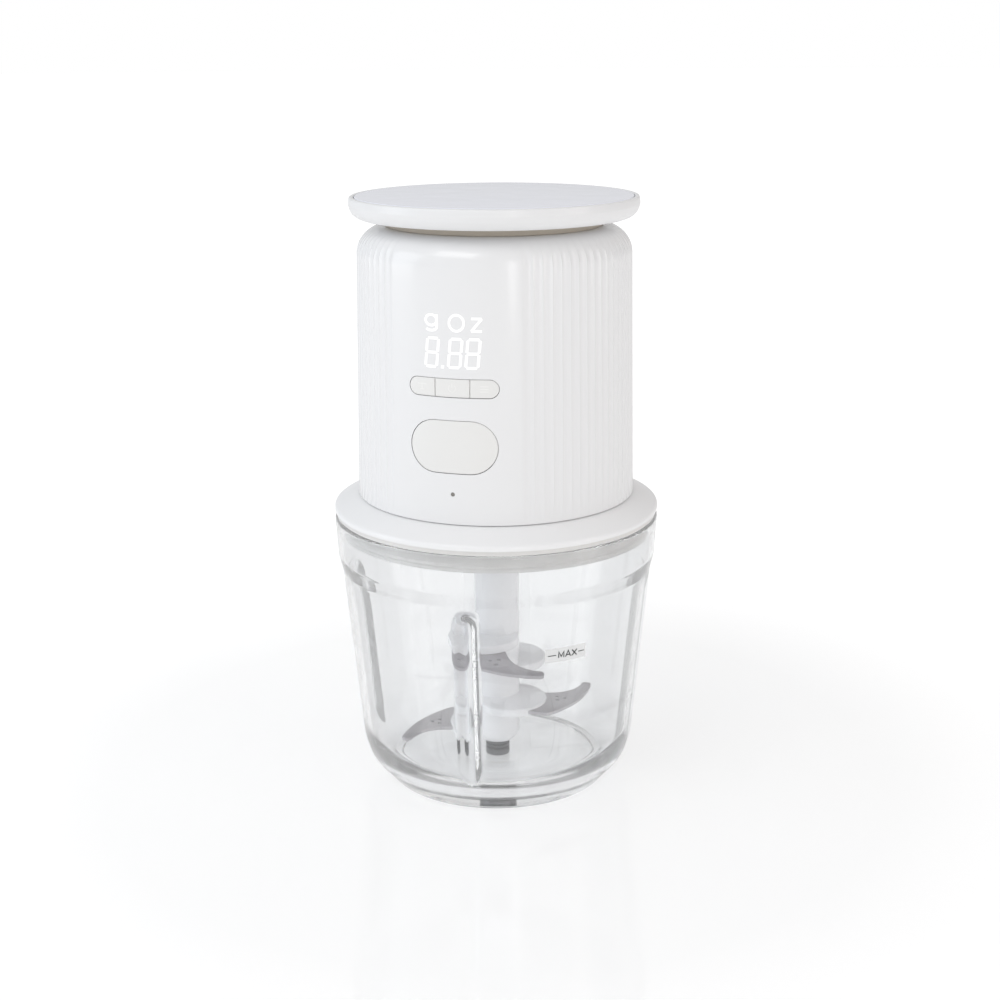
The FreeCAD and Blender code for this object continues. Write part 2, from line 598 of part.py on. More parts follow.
def make_housing(envelope):
    top = value(HOUSING_TOP) + 1
    low = value(HOUSING_LOW) - 1
    prism = Part.makeLoft([fluted_wire(value(housing_at(low)), low), fluted_wire(value(housing_at(top)), top)],
                          True, True)
    outside = common("housing_outside", envelope, feature("housing_flutes", prism))
    cavity = revolved("housing_cavity", [
        ("0", f"{HOUSING_LOW} - 1"), (f"{housing_at(HOUSING_LOW)} - housing_wall", f"{HOUSING_LOW} - 1"),
        (f"{housing_at(HOUSING_TOP)} - housing_wall", f"{HOUSING_TOP} - housing_wall",
         "housing_shoulder - housing_wall"),
        ("0", f"{HOUSING_TOP} - housing_wall")])
    shell = cut("housing_walls", outside, cavity)
    boss = box("port_boss", ("-flap_width / 2 - 2", "flap_width / 2 + 2"), (f"{FLAP_FACE} - 4.6", "housing_radius"),
               (f"{FLAP_LOW} - 1.8", f"{FLAP_LOW} + flap_tall + 1.8"))
    body = fuse("housing_body", shell, common("port_boss_in_shell", boss, outside))
    neck = cylinder("neck_opening", "neck_radius", f"{HOUSING_TOP} - housing_wall - 1", f"{HOUSING_TOP} + 1")
    window = stadium("button_window", "button_width + 2 * key_gap", "button_tall + 2 * key_gap", BUTTON_HEIGHT,
                     "-housing_radius - 1", "-button_depth")
    strip = stadium("key_window", "key_strip_width + 2 * key_gap", "key_strip_tall + 2 * key_gap", KEY_HEIGHT,
                    "-housing_radius - 1", "-key_depth + 1")
    pinhole = rod("light_hole", "light_radius + running_clearance", "-housing_radius - 1", "-button_depth",
                  LIGHT_HEIGHT)
    recess = box("flap_recess", ("-flap_width / 2 - key_gap", "flap_width / 2 + key_gap"),
                 (f"{FLAP_FACE} - flap_thickness - 0.2", "housing_radius + 1"),
                 (f"{FLAP_LOW} - key_gap", f"{FLAP_LOW} + flap_tall + key_gap"))
    mouth = box("port_hole", ("-port_width / 2 - 0.3", "port_width / 2 + 0.3"),
                (f"{FLAP_FACE} - 6", "housing_radius"),
                (f"{PORT_HEIGHT} - port_tall / 2 - 0.3", f"{PORT_HEIGHT} + port_tall / 2 + 0.5"))
    node("housing_shell", cut("housing_shell", body, neck, window, strip, pinhole, recess, mouth))


def make_cover():
    outer = "(lid_well_radius - cover_play - 0.1)"
    inside = f"({outer} - cover_wall)"
    inner_rim = "(housing_radius - housing_wall - cover_play)"
    plate = revolved("cover_body", [
        ("bearing_radius", f"{HUB_END} + hub_lip"), ("bearing_radius - 2.6", f"{HUB_END} + hub_lip"),
        ("bearing_radius - 2.6", HUB_END), ("hub_radius", HUB_END, "0.6"), ("hub_radius", UNIT_FACE, "0.8"),
        (outer, UNIT_FACE, "0.8"), (outer, HOUSING_LOW), (inner_rim, HOUSING_LOW),
        (inner_rim, f"{HOUSING_LOW} + cover_rise"), (inside, f"{HOUSING_LOW} + cover_rise"),
        (inside, UNIT_FLOOR, "1"), ("bearing_radius", UNIT_FLOOR)])
    holes, screws = [], []
    for index, angle in enumerate(POST_ANGLES, start=1):
        x, y = polar("post_place", angle)
        head_low = f"({UNIT_FACE} + 0.2)"
        holes += [cylinder(f"cover_head_hole_{index}", "screw_head + 0.2", f"{UNIT_FACE} - 1",
                           f"{head_low} + screw_head_height", x, y),
                  cylinder(f"cover_hole_{index}", "screw_radius", UNIT_FACE, f"{UNIT_FLOOR} + 1", x, y)]
        screws += [cylinder(f"cover_screw_head_{index}", "screw_head", head_low,
                            f"{head_low} + screw_head_height", x, y),
                   cylinder(f"cover_screw_rod_{index}", "screw_radius", head_low, f"{UNIT_FLOOR} + 9", x, y)]
    node("bottom_cover", cut("bottom_cover", plate, *holes))
    node("cover_screws", fuse("cover_screws", *screws))
    node("output_bearing", tube("output_bearing", "bearing_radius", "shaft_radius + running_clearance",
                                f"{HUB_END} + hub_lip", f"{HUB_END} + hub_lip + bearing_length"))


# ---------------------------------------------------------------- motor unit: drive

def gear_wire(teeth, height, tip, root, thinning):
    """The outline of an involute gear; tip and root are shares of the module."""
    module = value("tooth_module")
    pitch = module * teeth / 2
    base = pitch * math.cos(PRESSURE_ANGLE)
    radii = [pitch - root * module]
    steps = 4
    radii += [max(base, radii[0] + 0.02) + (pitch + tip * module - max(base, radii[0] + 0.02)) * i / steps
              for i in range(steps + 1)]

    def involute(angle):
        return math.tan(angle) - angle

    def half_angle(radius):
        lean = math.acos(min(1, base / radius))
        return (math.pi / (2 * teeth) - thinning / (2 * pitch) + involute(PRESSURE_ANGLE) - involute(lean))

    points = []
    for tooth in range(teeth):
        middle = 2 * math.pi * tooth / teeth
        flank = [(radius, half_angle(radius)) for radius in radii]
        for radius, spread in flank:
            points.append((radius, middle - spread))
        for radius, spread in reversed(flank):
            points.append((radius, middle + spread))
    spots = [Vector(radius * math.cos(angle), radius * math.sin(angle), height) for radius, angle in points]
    return Part.makePolygon(spots + spots[:1])


def gear_solid(teeth, low, high, tip, root, thinning):
    """A spur gear between two heights."""
    return Part.Face(gear_wire(teeth, low, tip, root, thinning)).extrude(Vector(0, 0, high - low))


def make_gears():
    """Sun, three planets and the ring; the ratio of carrier to sun is 1 to 5."""
    sun, planet = int(value("sun_teeth")), int(value("planet_teeth"))
    ring = sun + 2 * planet
    low, high, thin = value(GEAR_LOW), value(f"{GEAR_LOW} + gear_width"), value("tooth_thinning")
    shape = gear_solid(sun, low, high, 0.9, 1.2, thin)
    shape = shape.cut(Part.makeCylinder(value("motor_shaft_radius"), high - low, Vector(0, 0, low)))
    node("sun_gear", feature("sun_gear", shape))
    for index in range(PLANETS):
        angle = 2 * math.pi * index / PLANETS
        shape = gear_solid(planet, low, high, 0.9, 1.2, thin)
        bore = value("planet_pin_radius + running_clearance")
        shape = shape.cut(Part.makeCylinder(bore, high - low, Vector(0, 0, low)))
        shape.translate(Vector(math.cos(angle), math.sin(angle), 0) * value(PLANET_PLACE))
        node(f"planet_gear_{index + 1}", feature(f"planet_gear_{index + 1}", shape))
    hollow = gear_solid(ring, value(f"{CARRIER_LOW}"), value(f"{GEARBOX_TOP} + 1"), 1.2, 0.9, -thin)
    wall = cylinder("gearbox_wall", "gearbox_radius", UNIT_FLOOR, GEARBOX_TOP)
    room = cylinder("carrier_room", "carrier_radius + 1.6", f"{UNIT_FLOOR} + gearbox_floor",
                    f"{GEAR_LOW} - seat_gap / 2")
    passage = cylinder("gearbox_passage", "bearing_radius + 1.5", f"{UNIT_FLOOR} - 1",
                       f"{UNIT_FLOOR} + gearbox_floor + 1")
    node("gearbox_housing", cut("gearbox_housing", wall, feature("ring_teeth", hollow), room, passage))


def make_carrier():
    disc = cylinder("carrier_disc", "carrier_radius", CARRIER_LOW, f"{CARRIER_LOW} + carrier_thickness")
    shaft = cylinder("output_shaft", "shaft_radius", SHAFT_END, f"{CARRIER_LOW} + 1")
    boss = cylinder("carrier_boss", "bearing_radius - 1", f"{UNIT_FLOOR} + seat_gap", f"{CARRIER_LOW} + 1")
    pins = []
    for index in range(PLANETS):
        x, y = polar(PLANET_PLACE, 360 * index / PLANETS)
        pins.append(cylinder(f"planet_pin_{index + 1}", "planet_pin_radius", CARRIER_LOW,
                             f"{GEARBOX_TOP} - seat_gap / 2", x, y))
    relief = cylinder("carrier_relief", "motor_shaft_radius + 1", f"{CARRIER_LOW} + 1.6",
                      f"{CARRIER_LOW} + carrier_thickness + 1")
    node("planet_carrier", cut("planet_carrier", fuse("carrier_body", disc, shaft, boss, *pins), relief))
    flange_low = f"({HUB_END} - seat_gap - coupling_flange_thickness)"
    flange = cylinder("coupling_disc", "coupling_flange", flange_low, f"{HUB_END} - seat_gap")
    hexagon = doc.addObject("Part::Prism", "coupling_hexagon")
    hexagon.Polygon = 6
    bind(hexagon, Circumradius="drive_flats / 2 / cos(30)", Height=f"{flange_low} - spindle_top + drive_depth",
         Base_z="spindle_top - drive_depth")
    bore = cylinder("coupling_bore", "shaft_radius", f"{SHAFT_END}", f"{HUB_END}")
    node("drive_coupling", cut("drive_coupling", fuse("coupling_body", flange, hexagon), bore))


def make_motor():
    plate_low, plate_top = GEARBOX_TOP, MOTOR_LOW
    plate = cylinder("plate_disc", "gearbox_radius", plate_low, plate_top)
    centre = cylinder("plate_hole", "motor_shaft_radius + 2", f"{plate_low} - 1", f"{plate_top} + 1")
    screws, taps = [], []
    for index, angle in enumerate((90, 270), start=1):
        x, y = polar("motor_radius * 0.6", angle)
        head = doc.addObject("Part::Cone", f"motor_screw_head_{index}")
        bind(head, Radius1="screw_head", Radius2="screw_radius", Height="screw_head_height",
             Base_x=x, Base_y=y, Base_z=plate_low)
        thread = cylinder(f"motor_screw_rod_{index}", "screw_radius", plate_low, f"{plate_top} + 4", x, y)
        screws.append(fuse(f"motor_screw_{index}", head, thread))
        taps.append(thread)
    node("motor_plate", cut("motor_plate", plate, centre, *screws))
    node("motor_screws", fuse("motor_screws", *screws))
    can = cylinder("can_outside", "motor_radius", MOTOR_LOW, MOTOR_TOP)
    room = cylinder("can_inside", "motor_radius - motor_wall", f"{MOTOR_LOW} + motor_wall", f"{MOTOR_TOP} + 1")
    nose = cylinder("can_bush", "motor_shaft_radius + running_clearance", f"{MOTOR_LOW} - 1",
                    f"{MOTOR_LOW} + motor_wall + 1")
    node("motor_can", cut("motor_can", can, room, nose, *taps))
    cap = cylinder("cap_disc", "motor_radius - 0.2", MOTOR_TOP, f"{MOTOR_TOP} + end_cap")
    spigot = cylinder("cap_spigot", "motor_radius - motor_wall - 0.1", f"{MOTOR_TOP} - 2", f"{MOTOR_TOP} + 1")
    cap_bore = cylinder("cap_bore", "motor_shaft_radius + running_clearance", f"{MOTOR_TOP} - 3",
                        f"{MOTOR_TOP} + end_cap - 1")
    node("motor_end_cap", cut("motor_end_cap", fuse("cap_body", cap, spigot), cap_bore))
    node("motor_shaft", cylinder("motor_shaft", "motor_shaft_radius", f"{GEAR_LOW}",
                                 f"{MOTOR_TOP} + end_cap - 1 - seat_gap"))
    node("motor_armature", tube("motor_armature", "armature_radius", "motor_shaft_radius",
                                f"{MOTOR_LOW} + 7", f"{MOTOR_TOP} - 7"))
    ring = tube("magnet_ring", "motor_radius - motor_wall", "armature_radius + magnet_gap",
                f"{MOTOR_LOW} + 6", f"{MOTOR_TOP} - 6")
    slot = box("magnet_slot", ("-4", "4"), ("-motor_radius", "motor_radius"), (MOTOR_LOW, MOTOR_TOP))
    node("motor_magnets", cut("motor_magnets", ring, slot))


# ---------------------------------------------------------------- motor unit: battery, frame and boards

def make_battery():
    cells, cups, rooms = [], [], []
    floor = f"({UNIT_FLOOR} + 2.4)"
    for side, angle in (("right", 90 - value("cell_angle")), ("left", 90 + value("cell_angle"))):
        x, y = polar("cell_place", angle)
        cells.append(cylinder(f"cell_{side}", "cell_radius", floor, f"{floor} + cell_length", x, y))
        cups.append(cylinder(f"cup_{side}", "cell_radius + cradle_wall", UNIT_FLOOR,
                             f"{UNIT_FLOOR} + cradle_height", x, y))
        rooms.append(cylinder(f"cup_room_{side}", "cell_radius + 0.1", floor, f"{floor} + cell_length", x, y))
    bridge = box("cradle_bridge", ("-12", "12"), ("gearbox_radius + 8", "gearbox_radius + 12"),
                 (UNIT_FLOOR, f"{UNIT_FLOOR} + 7"))
    node("battery_cells", fuse("battery_cells", *cells))
    node("battery_cradle", cut("battery_cradle", fuse("cradle_body", bridge, *cups), *rooms))


def make_frame():
    """Screw posts, an upper plate with the motor's collar, board stand-offs and the beam's pedestal."""
    disc = cylinder("frame_disc", "frame_plate_radius", PLATE_LOW, PLATE_TOP)
    collar = cylinder("motor_collar", "motor_radius + 3", f"{MOTOR_TOP} - 8", f"{PLATE_LOW} + 1")
    collar_room = cylinder("motor_collar_room", "motor_radius + 0.1", f"{MOTOR_TOP} - 9", PLATE_LOW)
    wire_hole = cylinder("wire_hole", "8", f"{PLATE_LOW} - 1", f"{PLATE_TOP} + 1", "14", "16")
    front = box("frame_front_edge", ("-frame_plate_radius", "frame_plate_radius"),
                ("-frame_plate_radius - 1", "-frame_front"), (f"{PLATE_LOW} - 1", f"{PLATE_TOP} + 1"))
    posts, taps = [], []
    for index, angle in enumerate(POST_ANGLES, start=1):
        x, y = polar("post_place", angle)
        posts.append(cylinder(f"post_{index}", "post_radius", UNIT_FLOOR, f"{PLATE_LOW} + 1", x, y))
        taps.append(cylinder(f"post_tap_{index}", "screw_radius", f"{UNIT_FLOOR} - 1", f"{UNIT_FLOOR} + 9", x, y))
    for index, angle in enumerate((30, 150, 215, 325), start=1):
        x, y = polar("main_board_radius - 5", angle)
        posts.append(cylinder(f"stand_off_{index}", "2", f"{PLATE_TOP} - 1", MAIN_BOARD_LOW, x, y))
    left = "(-beam_length / 2 - beam_offset)"
    pedestal = box("beam_pedestal", (f"{left}", f"{left} + 18"), ("-beam_width / 2", "beam_width / 2"),
                   (f"{PLATE_TOP} - 1", BEAM_LOW))
    beam_taps = [cylinder(f"beam_tap_{index}", "screw_radius", f"{BEAM_LOW} - 7", f"{BEAM_LOW} + 1",
                          f"{left} + {place}") for index, place in ((1, 4), (2, 14))]
    solid = fuse("frame_body", disc, collar, pedestal, *posts)
    node("inner_frame", cut("inner_frame", solid, collar_room, wire_hole, front, *taps, *beam_taps))


def make_boards():
    disc = cylinder("board_disc", "main_board_radius", MAIN_BOARD_LOW, f"{MAIN_BOARD_LOW} + board_thickness")
    front = box("board_front_edge", ("-main_board_radius", "main_board_radius"),
                ("-main_board_radius - 1", "-frame_front"), (f"{MAIN_BOARD_LOW} - 1", f"{MAIN_BOARD_LOW} + 4"))
    left = "(-beam_length / 2 - beam_offset)"
    notch = box("board_notch", (f"{left} - main_board_radius", f"{left} + 18.5"),
                ("-beam_width / 2 - 0.5", "beam_width / 2 + 0.5"),
                (f"{MAIN_BOARD_LOW} - 1", f"{MAIN_BOARD_LOW} + 4"))
    node("main_board", cut("main_board", disc, front, notch))
    back = "-panel_board_place"
    node("panel_board", box("panel_board", ("-panel_board_width / 2", "panel_board_width / 2"),
                            (back, f"{back} + board_thickness"), (f"{LIGHT_HEIGHT} - 6", f"{DISPLAY_HIGH} + 1.5")))
    node("display_block", box("display_block", ("-display_width / 2", "display_width / 2"),
                              (f"{back} - display_depth", back), (DISPLAY_LOW, DISPLAY_HIGH)))
    side = "(key_middle_width / 2 + (key_strip_width - key_middle_width) / 4)"
    switches = []
    for index, (x, z) in enumerate((("0", BUTTON_HEIGHT), (f"-{side}", KEY_HEIGHT), ("0", KEY_HEIGHT),
                                    (side, KEY_HEIGHT)), start=1):
        half = "switch_side / 2"
        switches.append(box(f"switch_{index}", (f"{x} - {half}", f"{x} + {half}"),
                            (f"{back} - switch_height", back), (f"{z} - {half}", f"{z} + {half}")))
    node("key_switches", fuse("key_switches", *switches))
    pipe = rod("light_pipe", "light_radius", f"-{housing_at(LIGHT_HEIGHT)} + 0.1", f"{back} - 1",
               LIGHT_HEIGHT)
    foot = rod("light_foot", "1.6", f"{back} - 1.2", back, LIGHT_HEIGHT)
    node("status_light", fuse("status_light", pipe, foot))


def make_keys(envelope):
    """Chop button and three keys: blocks whose faces follow the housing, with stems to their switches."""
    block = stadium("button_block", "button_width", "button_tall", BUTTON_HEIGHT, "-housing_radius - 1",
                    "-button_depth")
    cap = common("button_cap", block, envelope)
    pocket = stadium("button_pocket", "button_width - 7", "button_tall - 7", BUTTON_HEIGHT,
                     "-button_depth - 2.4", "-button_depth + 1")
    flange = stadium("button_flange", "button_width + 1.8", "button_tall + 2", BUTTON_HEIGHT,
                     "-button_depth", "-button_depth + 0.9")
    web = stadium("button_web", "button_width - 5", "button_tall - 5", BUTTON_HEIGHT,
                  "-button_depth - 2.6", "-button_depth + 0.9")
    stem = rod("button_stem", "2.4", "-button_depth - 3", "-panel_board_place - switch_height - button_travel - 0.1",
               BUTTON_HEIGHT)
    rim = cut("button_rim", fuse("button_solid", cap, flange, web), pocket)
    node("chop_button", fuse("chop_button", rim, stem))
    half = "key_middle_width / 2"
    strip = stadium("key_block", "key_strip_width", "key_strip_tall", KEY_HEIGHT, "-housing_radius - 1",
                    "-key_depth")
    side = "(key_middle_width / 2 + (key_strip_width - key_middle_width) / 4)"
    spans = (("key_left", ("-key_strip_width", f"-{half} - key_gap"), f"-{side}"),
             ("key_middle", (f"-{half}", half), "0"),
             ("key_right", (f"{half} + key_gap", "key_strip_width"), side))
    for label, span, x in spans:
        window = box(f"{label}_span", span, ("-housing_radius - 2", "0"),
                     (f"{KEY_HEIGHT} - key_strip_tall", f"{KEY_HEIGHT} + key_strip_tall"))
        piece = common(f"{label}_block", common(f"{label}_cap", strip, window), envelope)
        stem = rod(f"{label}_stem", "1.5", "-key_depth - 0.5",
                   "-panel_board_place - switch_height - key_travel - 0.1", KEY_HEIGHT, x)
        node(label, fuse(label, piece, stem))


def make_port(envelope):
    inner = f"({FLAP_FACE} - flap_thickness - 0.6)"
    socket = box("socket_block", ("-port_width / 2", "port_width / 2"), (f"{inner} - port_length", inner),
                 (f"{PORT_HEIGHT} - port_tall / 2", f"{PORT_HEIGHT} + port_tall / 2"))
    mouth = box("socket_mouth", ("-port_width / 2 + 0.4", "port_width / 2 - 0.4"), (f"{inner} - 5.5", f"{inner} + 1"),
                (f"{PORT_HEIGHT} - port_tall / 2 + 0.4", f"{PORT_HEIGHT} + port_tall / 2 - 0.4"))
    node("charging_port", cut("charging_port", socket, mouth))
    flap = box("flap_block", ("-flap_width / 2", "flap_width / 2"),
               (f"{FLAP_FACE} - flap_thickness", "housing_radius + 1"), (FLAP_LOW, f"{FLAP_LOW} + flap_tall"))
    node("port_cover", common("port_cover", flap, envelope))


# ---------------------------------------------------------------- weighing platform

def make_platform():
    node("neck_gasket", tube("neck_gasket", "gasket_radius", "gasket_radius - gasket_wall", HOUSING_TOP,
                             f"{TRAY_LOW} - platform_travel - 0.1"))
    seat = "(tray_radius - tray_wall)"
    tray = revolved("tray_body", [
        ("0", TRAY_LOW), ("tray_radius - 1.2", TRAY_LOW, "tray_rounding"),
        ("tray_radius", f"{TRAY_TOP} - 2.6", "1.2"), ("tray_radius - 0.3", TRAY_TOP, "0.7"), (seat, TRAY_TOP, "0.3"),
        (seat, PLATE_SEAT), (f"{seat} - 4", PLATE_SEAT), (f"{seat} - 4", TRAY_INNER, "1"),
        ("tray_island_radius", TRAY_INNER, "1"), ("tray_island_radius", PLATE_SEAT), ("0", PLATE_SEAT)])
    right = "(beam_length / 2 - beam_offset)"
    foot = box("carrier_foot", (f"{right} - 16", right), ("-beam_width / 2", "beam_width / 2"),
               (BEAM_TOP, f"{TRAY_LOW} - carrier_plate + 0.5"))
    disc = cylinder("carrier_plate_disc", "carrier_plate_radius", f"{TRAY_LOW} - carrier_plate", TRAY_LOW)
    rods, heads = [], []
    for index, place in ((1, 3), (2, 9)):
        rods.append(cylinder(f"carrier_screw_rod_{index}", "screw_radius", f"{BEAM_LOW} + 1", f"{TRAY_INNER} + 0.5",
                             f"{right} - {place}"))
        heads.append(cylinder(f"carrier_screw_head_{index}", "screw_head", TRAY_INNER,
                              f"{TRAY_INNER} + screw_head_height", f"{right} - {place}"))
    node("scale_tray", cut("scale_tray", tray, *rods))
    node("platform_carrier", cut("platform_carrier", fuse("carrier_shape", disc, foot), *rods))
    node("carrier_screws", fuse("carrier_screws", *rods, *heads))
    node("scale_plate", revolved("scale_plate", [
        ("0", PLATE_SEAT), (f"{seat} - plate_play", PLATE_SEAT), (f"{seat} - plate_play", f"{TRAY_TOP} + 0.1", "0.4"),
        ("0", f"{TRAY_TOP} + 0.1")]))
    left = "(-beam_length / 2 - beam_offset)"
    bar = box("beam_bar", (left, f"{left} + beam_length"), ("-beam_width / 2", "beam_width / 2"),
              (BEAM_LOW, BEAM_TOP))
    waist = [rod(f"beam_waist_{index}", "beam_height / 2 - 0.8", "-beam_width", "beam_width",
                 f"{BEAM_LOW} + beam_height / 2", f"{left} + beam_length / 2 + {offset}")
             for index, offset in ((1, -4), (2, 4))]
    fixings, caps = [], []
    for index, place in ((1, 4), (2, 14)):
        fixings.append(cylinder(f"beam_screw_rod_{index}", "screw_radius", f"{BEAM_LOW} - 7", f"{BEAM_TOP} + 0.5",
                                f"{left} + {place}"))
        caps.append(cylinder(f"beam_screw_head_{index}", "screw_head", BEAM_TOP,
                             f"{BEAM_TOP} + screw_head_height", f"{left} + {place}"))
    node("load_cell", cut("load_cell", bar, *waist, *fixings, *rods))
    node("load_cell_screws", fuse("load_cell_screws", *fixings, *caps))


# ---------------------------------------------------------------- build, check and write

def check():
    """Stop at any object that failed, and at any piece whose shape is missing or invalid."""
    for thing in doc.Objects:
        if "Invalid" in thing.State or "Error" in thing.State:
            raise RuntimeError(f"{thing.Label}: {thing.State}")
    for label, thing in nodes.items():
        if thing.Shape.isNull() or not thing.Shape.isValid() or not thing.Shape.Solids:
            raise RuntimeError(f"{label}: no valid solid")


def write():
    os.makedirs("parts", exist_ok=True)
    for label, thing in nodes.items():
        thing.Shape.exportStep(os.path.join("parts", f"{label}.step"))
        print(f"{label}: {len(thing.Shape.Solids)} solid(s), {thing.Shape.Volume:.1f} mm3")


fill_sheet()
make_bowl()
make_spindle(make_blades())
make_lid()
housing_envelope = make_envelope()
make_housing(housing_envelope)
make_cover()
make_gears()
make_carrier()
make_motor()
make_battery()
make_frame()
make_boards()
make_keys(housing_envelope)
make_port(housing_envelope)
make_platform()
doc.recompute()
check()
write()
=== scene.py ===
"""Looks of a small cordless food chopper with a weighing plate: pieces, finishes, stage and camera."""

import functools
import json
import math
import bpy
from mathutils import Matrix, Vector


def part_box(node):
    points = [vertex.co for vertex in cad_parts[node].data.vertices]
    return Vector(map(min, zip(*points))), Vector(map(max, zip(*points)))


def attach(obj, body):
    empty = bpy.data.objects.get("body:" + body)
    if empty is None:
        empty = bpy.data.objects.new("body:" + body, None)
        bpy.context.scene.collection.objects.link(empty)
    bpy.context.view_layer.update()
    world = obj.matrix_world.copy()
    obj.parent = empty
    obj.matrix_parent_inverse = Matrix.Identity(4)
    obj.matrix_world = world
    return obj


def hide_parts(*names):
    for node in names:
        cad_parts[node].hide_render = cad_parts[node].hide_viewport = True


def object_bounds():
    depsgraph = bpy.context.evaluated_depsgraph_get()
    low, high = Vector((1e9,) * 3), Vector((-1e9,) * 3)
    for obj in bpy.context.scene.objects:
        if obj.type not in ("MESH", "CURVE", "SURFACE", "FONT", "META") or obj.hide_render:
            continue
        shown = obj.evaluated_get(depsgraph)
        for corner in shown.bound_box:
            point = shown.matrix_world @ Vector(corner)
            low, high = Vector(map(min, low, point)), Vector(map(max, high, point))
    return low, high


bl_info = {
    "name": "Cordless Food Chopper",
    "version": (1, 0, 0),
    "blender": (4, 5, 0),
    "location": "View3D > Sidebar > Chopper",
    "description": "Builds the visible pieces of a small food chopper round its frame",
    "category": "Object",
}

import bmesh
import bpy
from bpy.props import FloatProperty, FloatVectorProperty, IntProperty, PointerProperty
from mathutils import Matrix, Vector

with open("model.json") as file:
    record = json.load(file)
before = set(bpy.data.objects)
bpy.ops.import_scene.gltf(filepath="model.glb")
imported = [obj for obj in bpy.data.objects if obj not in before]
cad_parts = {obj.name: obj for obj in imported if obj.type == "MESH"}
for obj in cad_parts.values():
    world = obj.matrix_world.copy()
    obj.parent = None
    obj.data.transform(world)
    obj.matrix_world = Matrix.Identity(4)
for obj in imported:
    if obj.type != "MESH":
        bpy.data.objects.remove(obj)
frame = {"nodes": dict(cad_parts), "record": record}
CAD_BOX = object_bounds()
MM = 0.001


@functools.lru_cache(maxsize=None)
def corners(node):
    """Lowest and highest corner of a CAD node, measured once."""
    first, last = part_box(node)
    return Vector(first), Vector(last)


def low(node):
    """Lowest corner of a CAD node."""
    return corners(node)[0].copy()


def high(node):
    """Highest corner of a CAD node."""
    return corners(node)[1].copy()


def length(name, description, default):
    """A size in metres, given in millimetres."""
    return FloatProperty(name=name, description=description, default=default * MM, unit="LENGTH",
                         subtype="DISTANCE", precision=4)


def angle(name, description, default):
    """An angle, given in degrees."""
    return FloatProperty(name=name, description=description, default=math.radians(default), unit="ROTATION",
                         subtype="ANGLE")


def colour(name, description, default):
    """A linear colour."""
    return FloatVectorProperty(name=name, description=description, default=default, size=3, subtype="COLOR",
                               min=0.0, max=1.0)


def number(name, description, default):
    """A plain number."""
    return FloatProperty(name=name, description=description, default=default)


# ---------------------------------------------------------------- settings

class ChopperColours(bpy.types.PropertyGroup):
    """Colours of the moulded, steel and rubber pieces."""

    white: colour("White", "Housing, lid and tray", (0.83, 0.83, 0.835))
    keys: colour("Keys", "Chop button and key strip", (0.82, 0.815, 0.80))
    plate: colour("Plate", "Weighing plate", (0.90, 0.915, 1.0))
    # Painted light: the spindle's white is lighter than the housing white so that it stays bright in the lid's
    # shadow.
    spindle: colour("Spindle", "Blade spindle", (0.93, 0.93, 0.94))
    steel: colour("Steel", "Ground blades", (0.50, 0.48, 0.50))
    pin: colour("Pin", "Pivot pin", (0.10, 0.10, 0.105))
    seal: colour("Seal", "Silicone under the lid", (0.76, 0.75, 0.735))
    gasket: colour("Gasket", "Rubber under the tray", (0.56, 0.50, 0.42))
    mark: colour("Print", "Printed marks on the bowl", (0.012, 0.012, 0.012))
    clear: colour("Clear", "Tint of the clear bowl", (0.95, 0.957, 0.963))


class ChopperBowl(bpy.types.PropertyGroup):
    """Sizes of the clear bowl."""

    wall: length("Wall", "Thickness of the wall", 2.8)
    floor: length("Floor", "Inside floor above the foot", 5.5)
    foot_radius: length("Foot", "Radius of the flat foot", 42.3)
    recess_radius: length("Hollow", "Radius of the hollow under the foot", 38.0)
    recess: length("Hollow depth", "Depth of the hollow under the foot", 0.8)
    knuckle_radius: length("Knuckle", "Radius where the foot's slope ends", 49.6)
    knuckle_height: length("Knuckle height", "Height where the foot's slope ends", 8.6)
    heel_radius: length("Heel", "Radius where the wall starts", 51.5)
    heel_height: length("Heel height", "Height where the wall starts", 15.0)
    shoulder_radius: length("Shoulder", "Radius under the step", 57.8)
    collar_radius: length("Collar", "Radius at the collar's lower edge", 59.2)
    collar_depth: length("Collar depth", "Collar below the rim", 15.0)
    ledge_drop: length("Step", "Height of the step under the collar", 5.5)
    inner_rounding: length("Inner rounding", "Rounding between floor and wall", 17.0)
    rib_radius: length("Rib", "Radius of an inner rib", 4.0)
    rib_sink: length("Rib sink", "Rib's centre outside the inner wall", 1.2)
    rib_blend: length("Rib blend", "Soft foot of a rib on each side", 1.2)
    rib_fade: length("Rib fade", "Length over which a rib runs out under the step", 7.0)
    rib_angle: angle("Rib angle", "First rib, from the front towards +X", 5.5)
    ribs: IntProperty(name="Ribs", description="Inner ribs", default=4, min=0)
    label_width: length("Label", "Width of the fill label", 16.0)
    label_tall: length("Label height", "Height of the fill label", 5.4)
    label_height: length("Label place", "Middle of the fill label above the foot", 64.0)
    label_angle: angle("Label angle", "Fill label, from the front towards +X", 42.5)
    letter_width: length("Letter", "Width of a letter of the label", 2.0)
    letter_tall: length("Letter height", "Height of a letter of the label", 2.3)
    ink: length("Ink", "Stroke of the label's letters", 0.42)
    dash_ink: length("Dash", "Stroke of the label's dashes", 0.32)
    pin_radius: length("Pin", "Radius of the pivot pin", 2.5)
    pin_collar_tall: length("Pin collar", "Top of the pin's collar above the inside floor", 4.3)
    pin_groove: length("Pin groove", "Depth of the two grooves in that collar", 1.1)


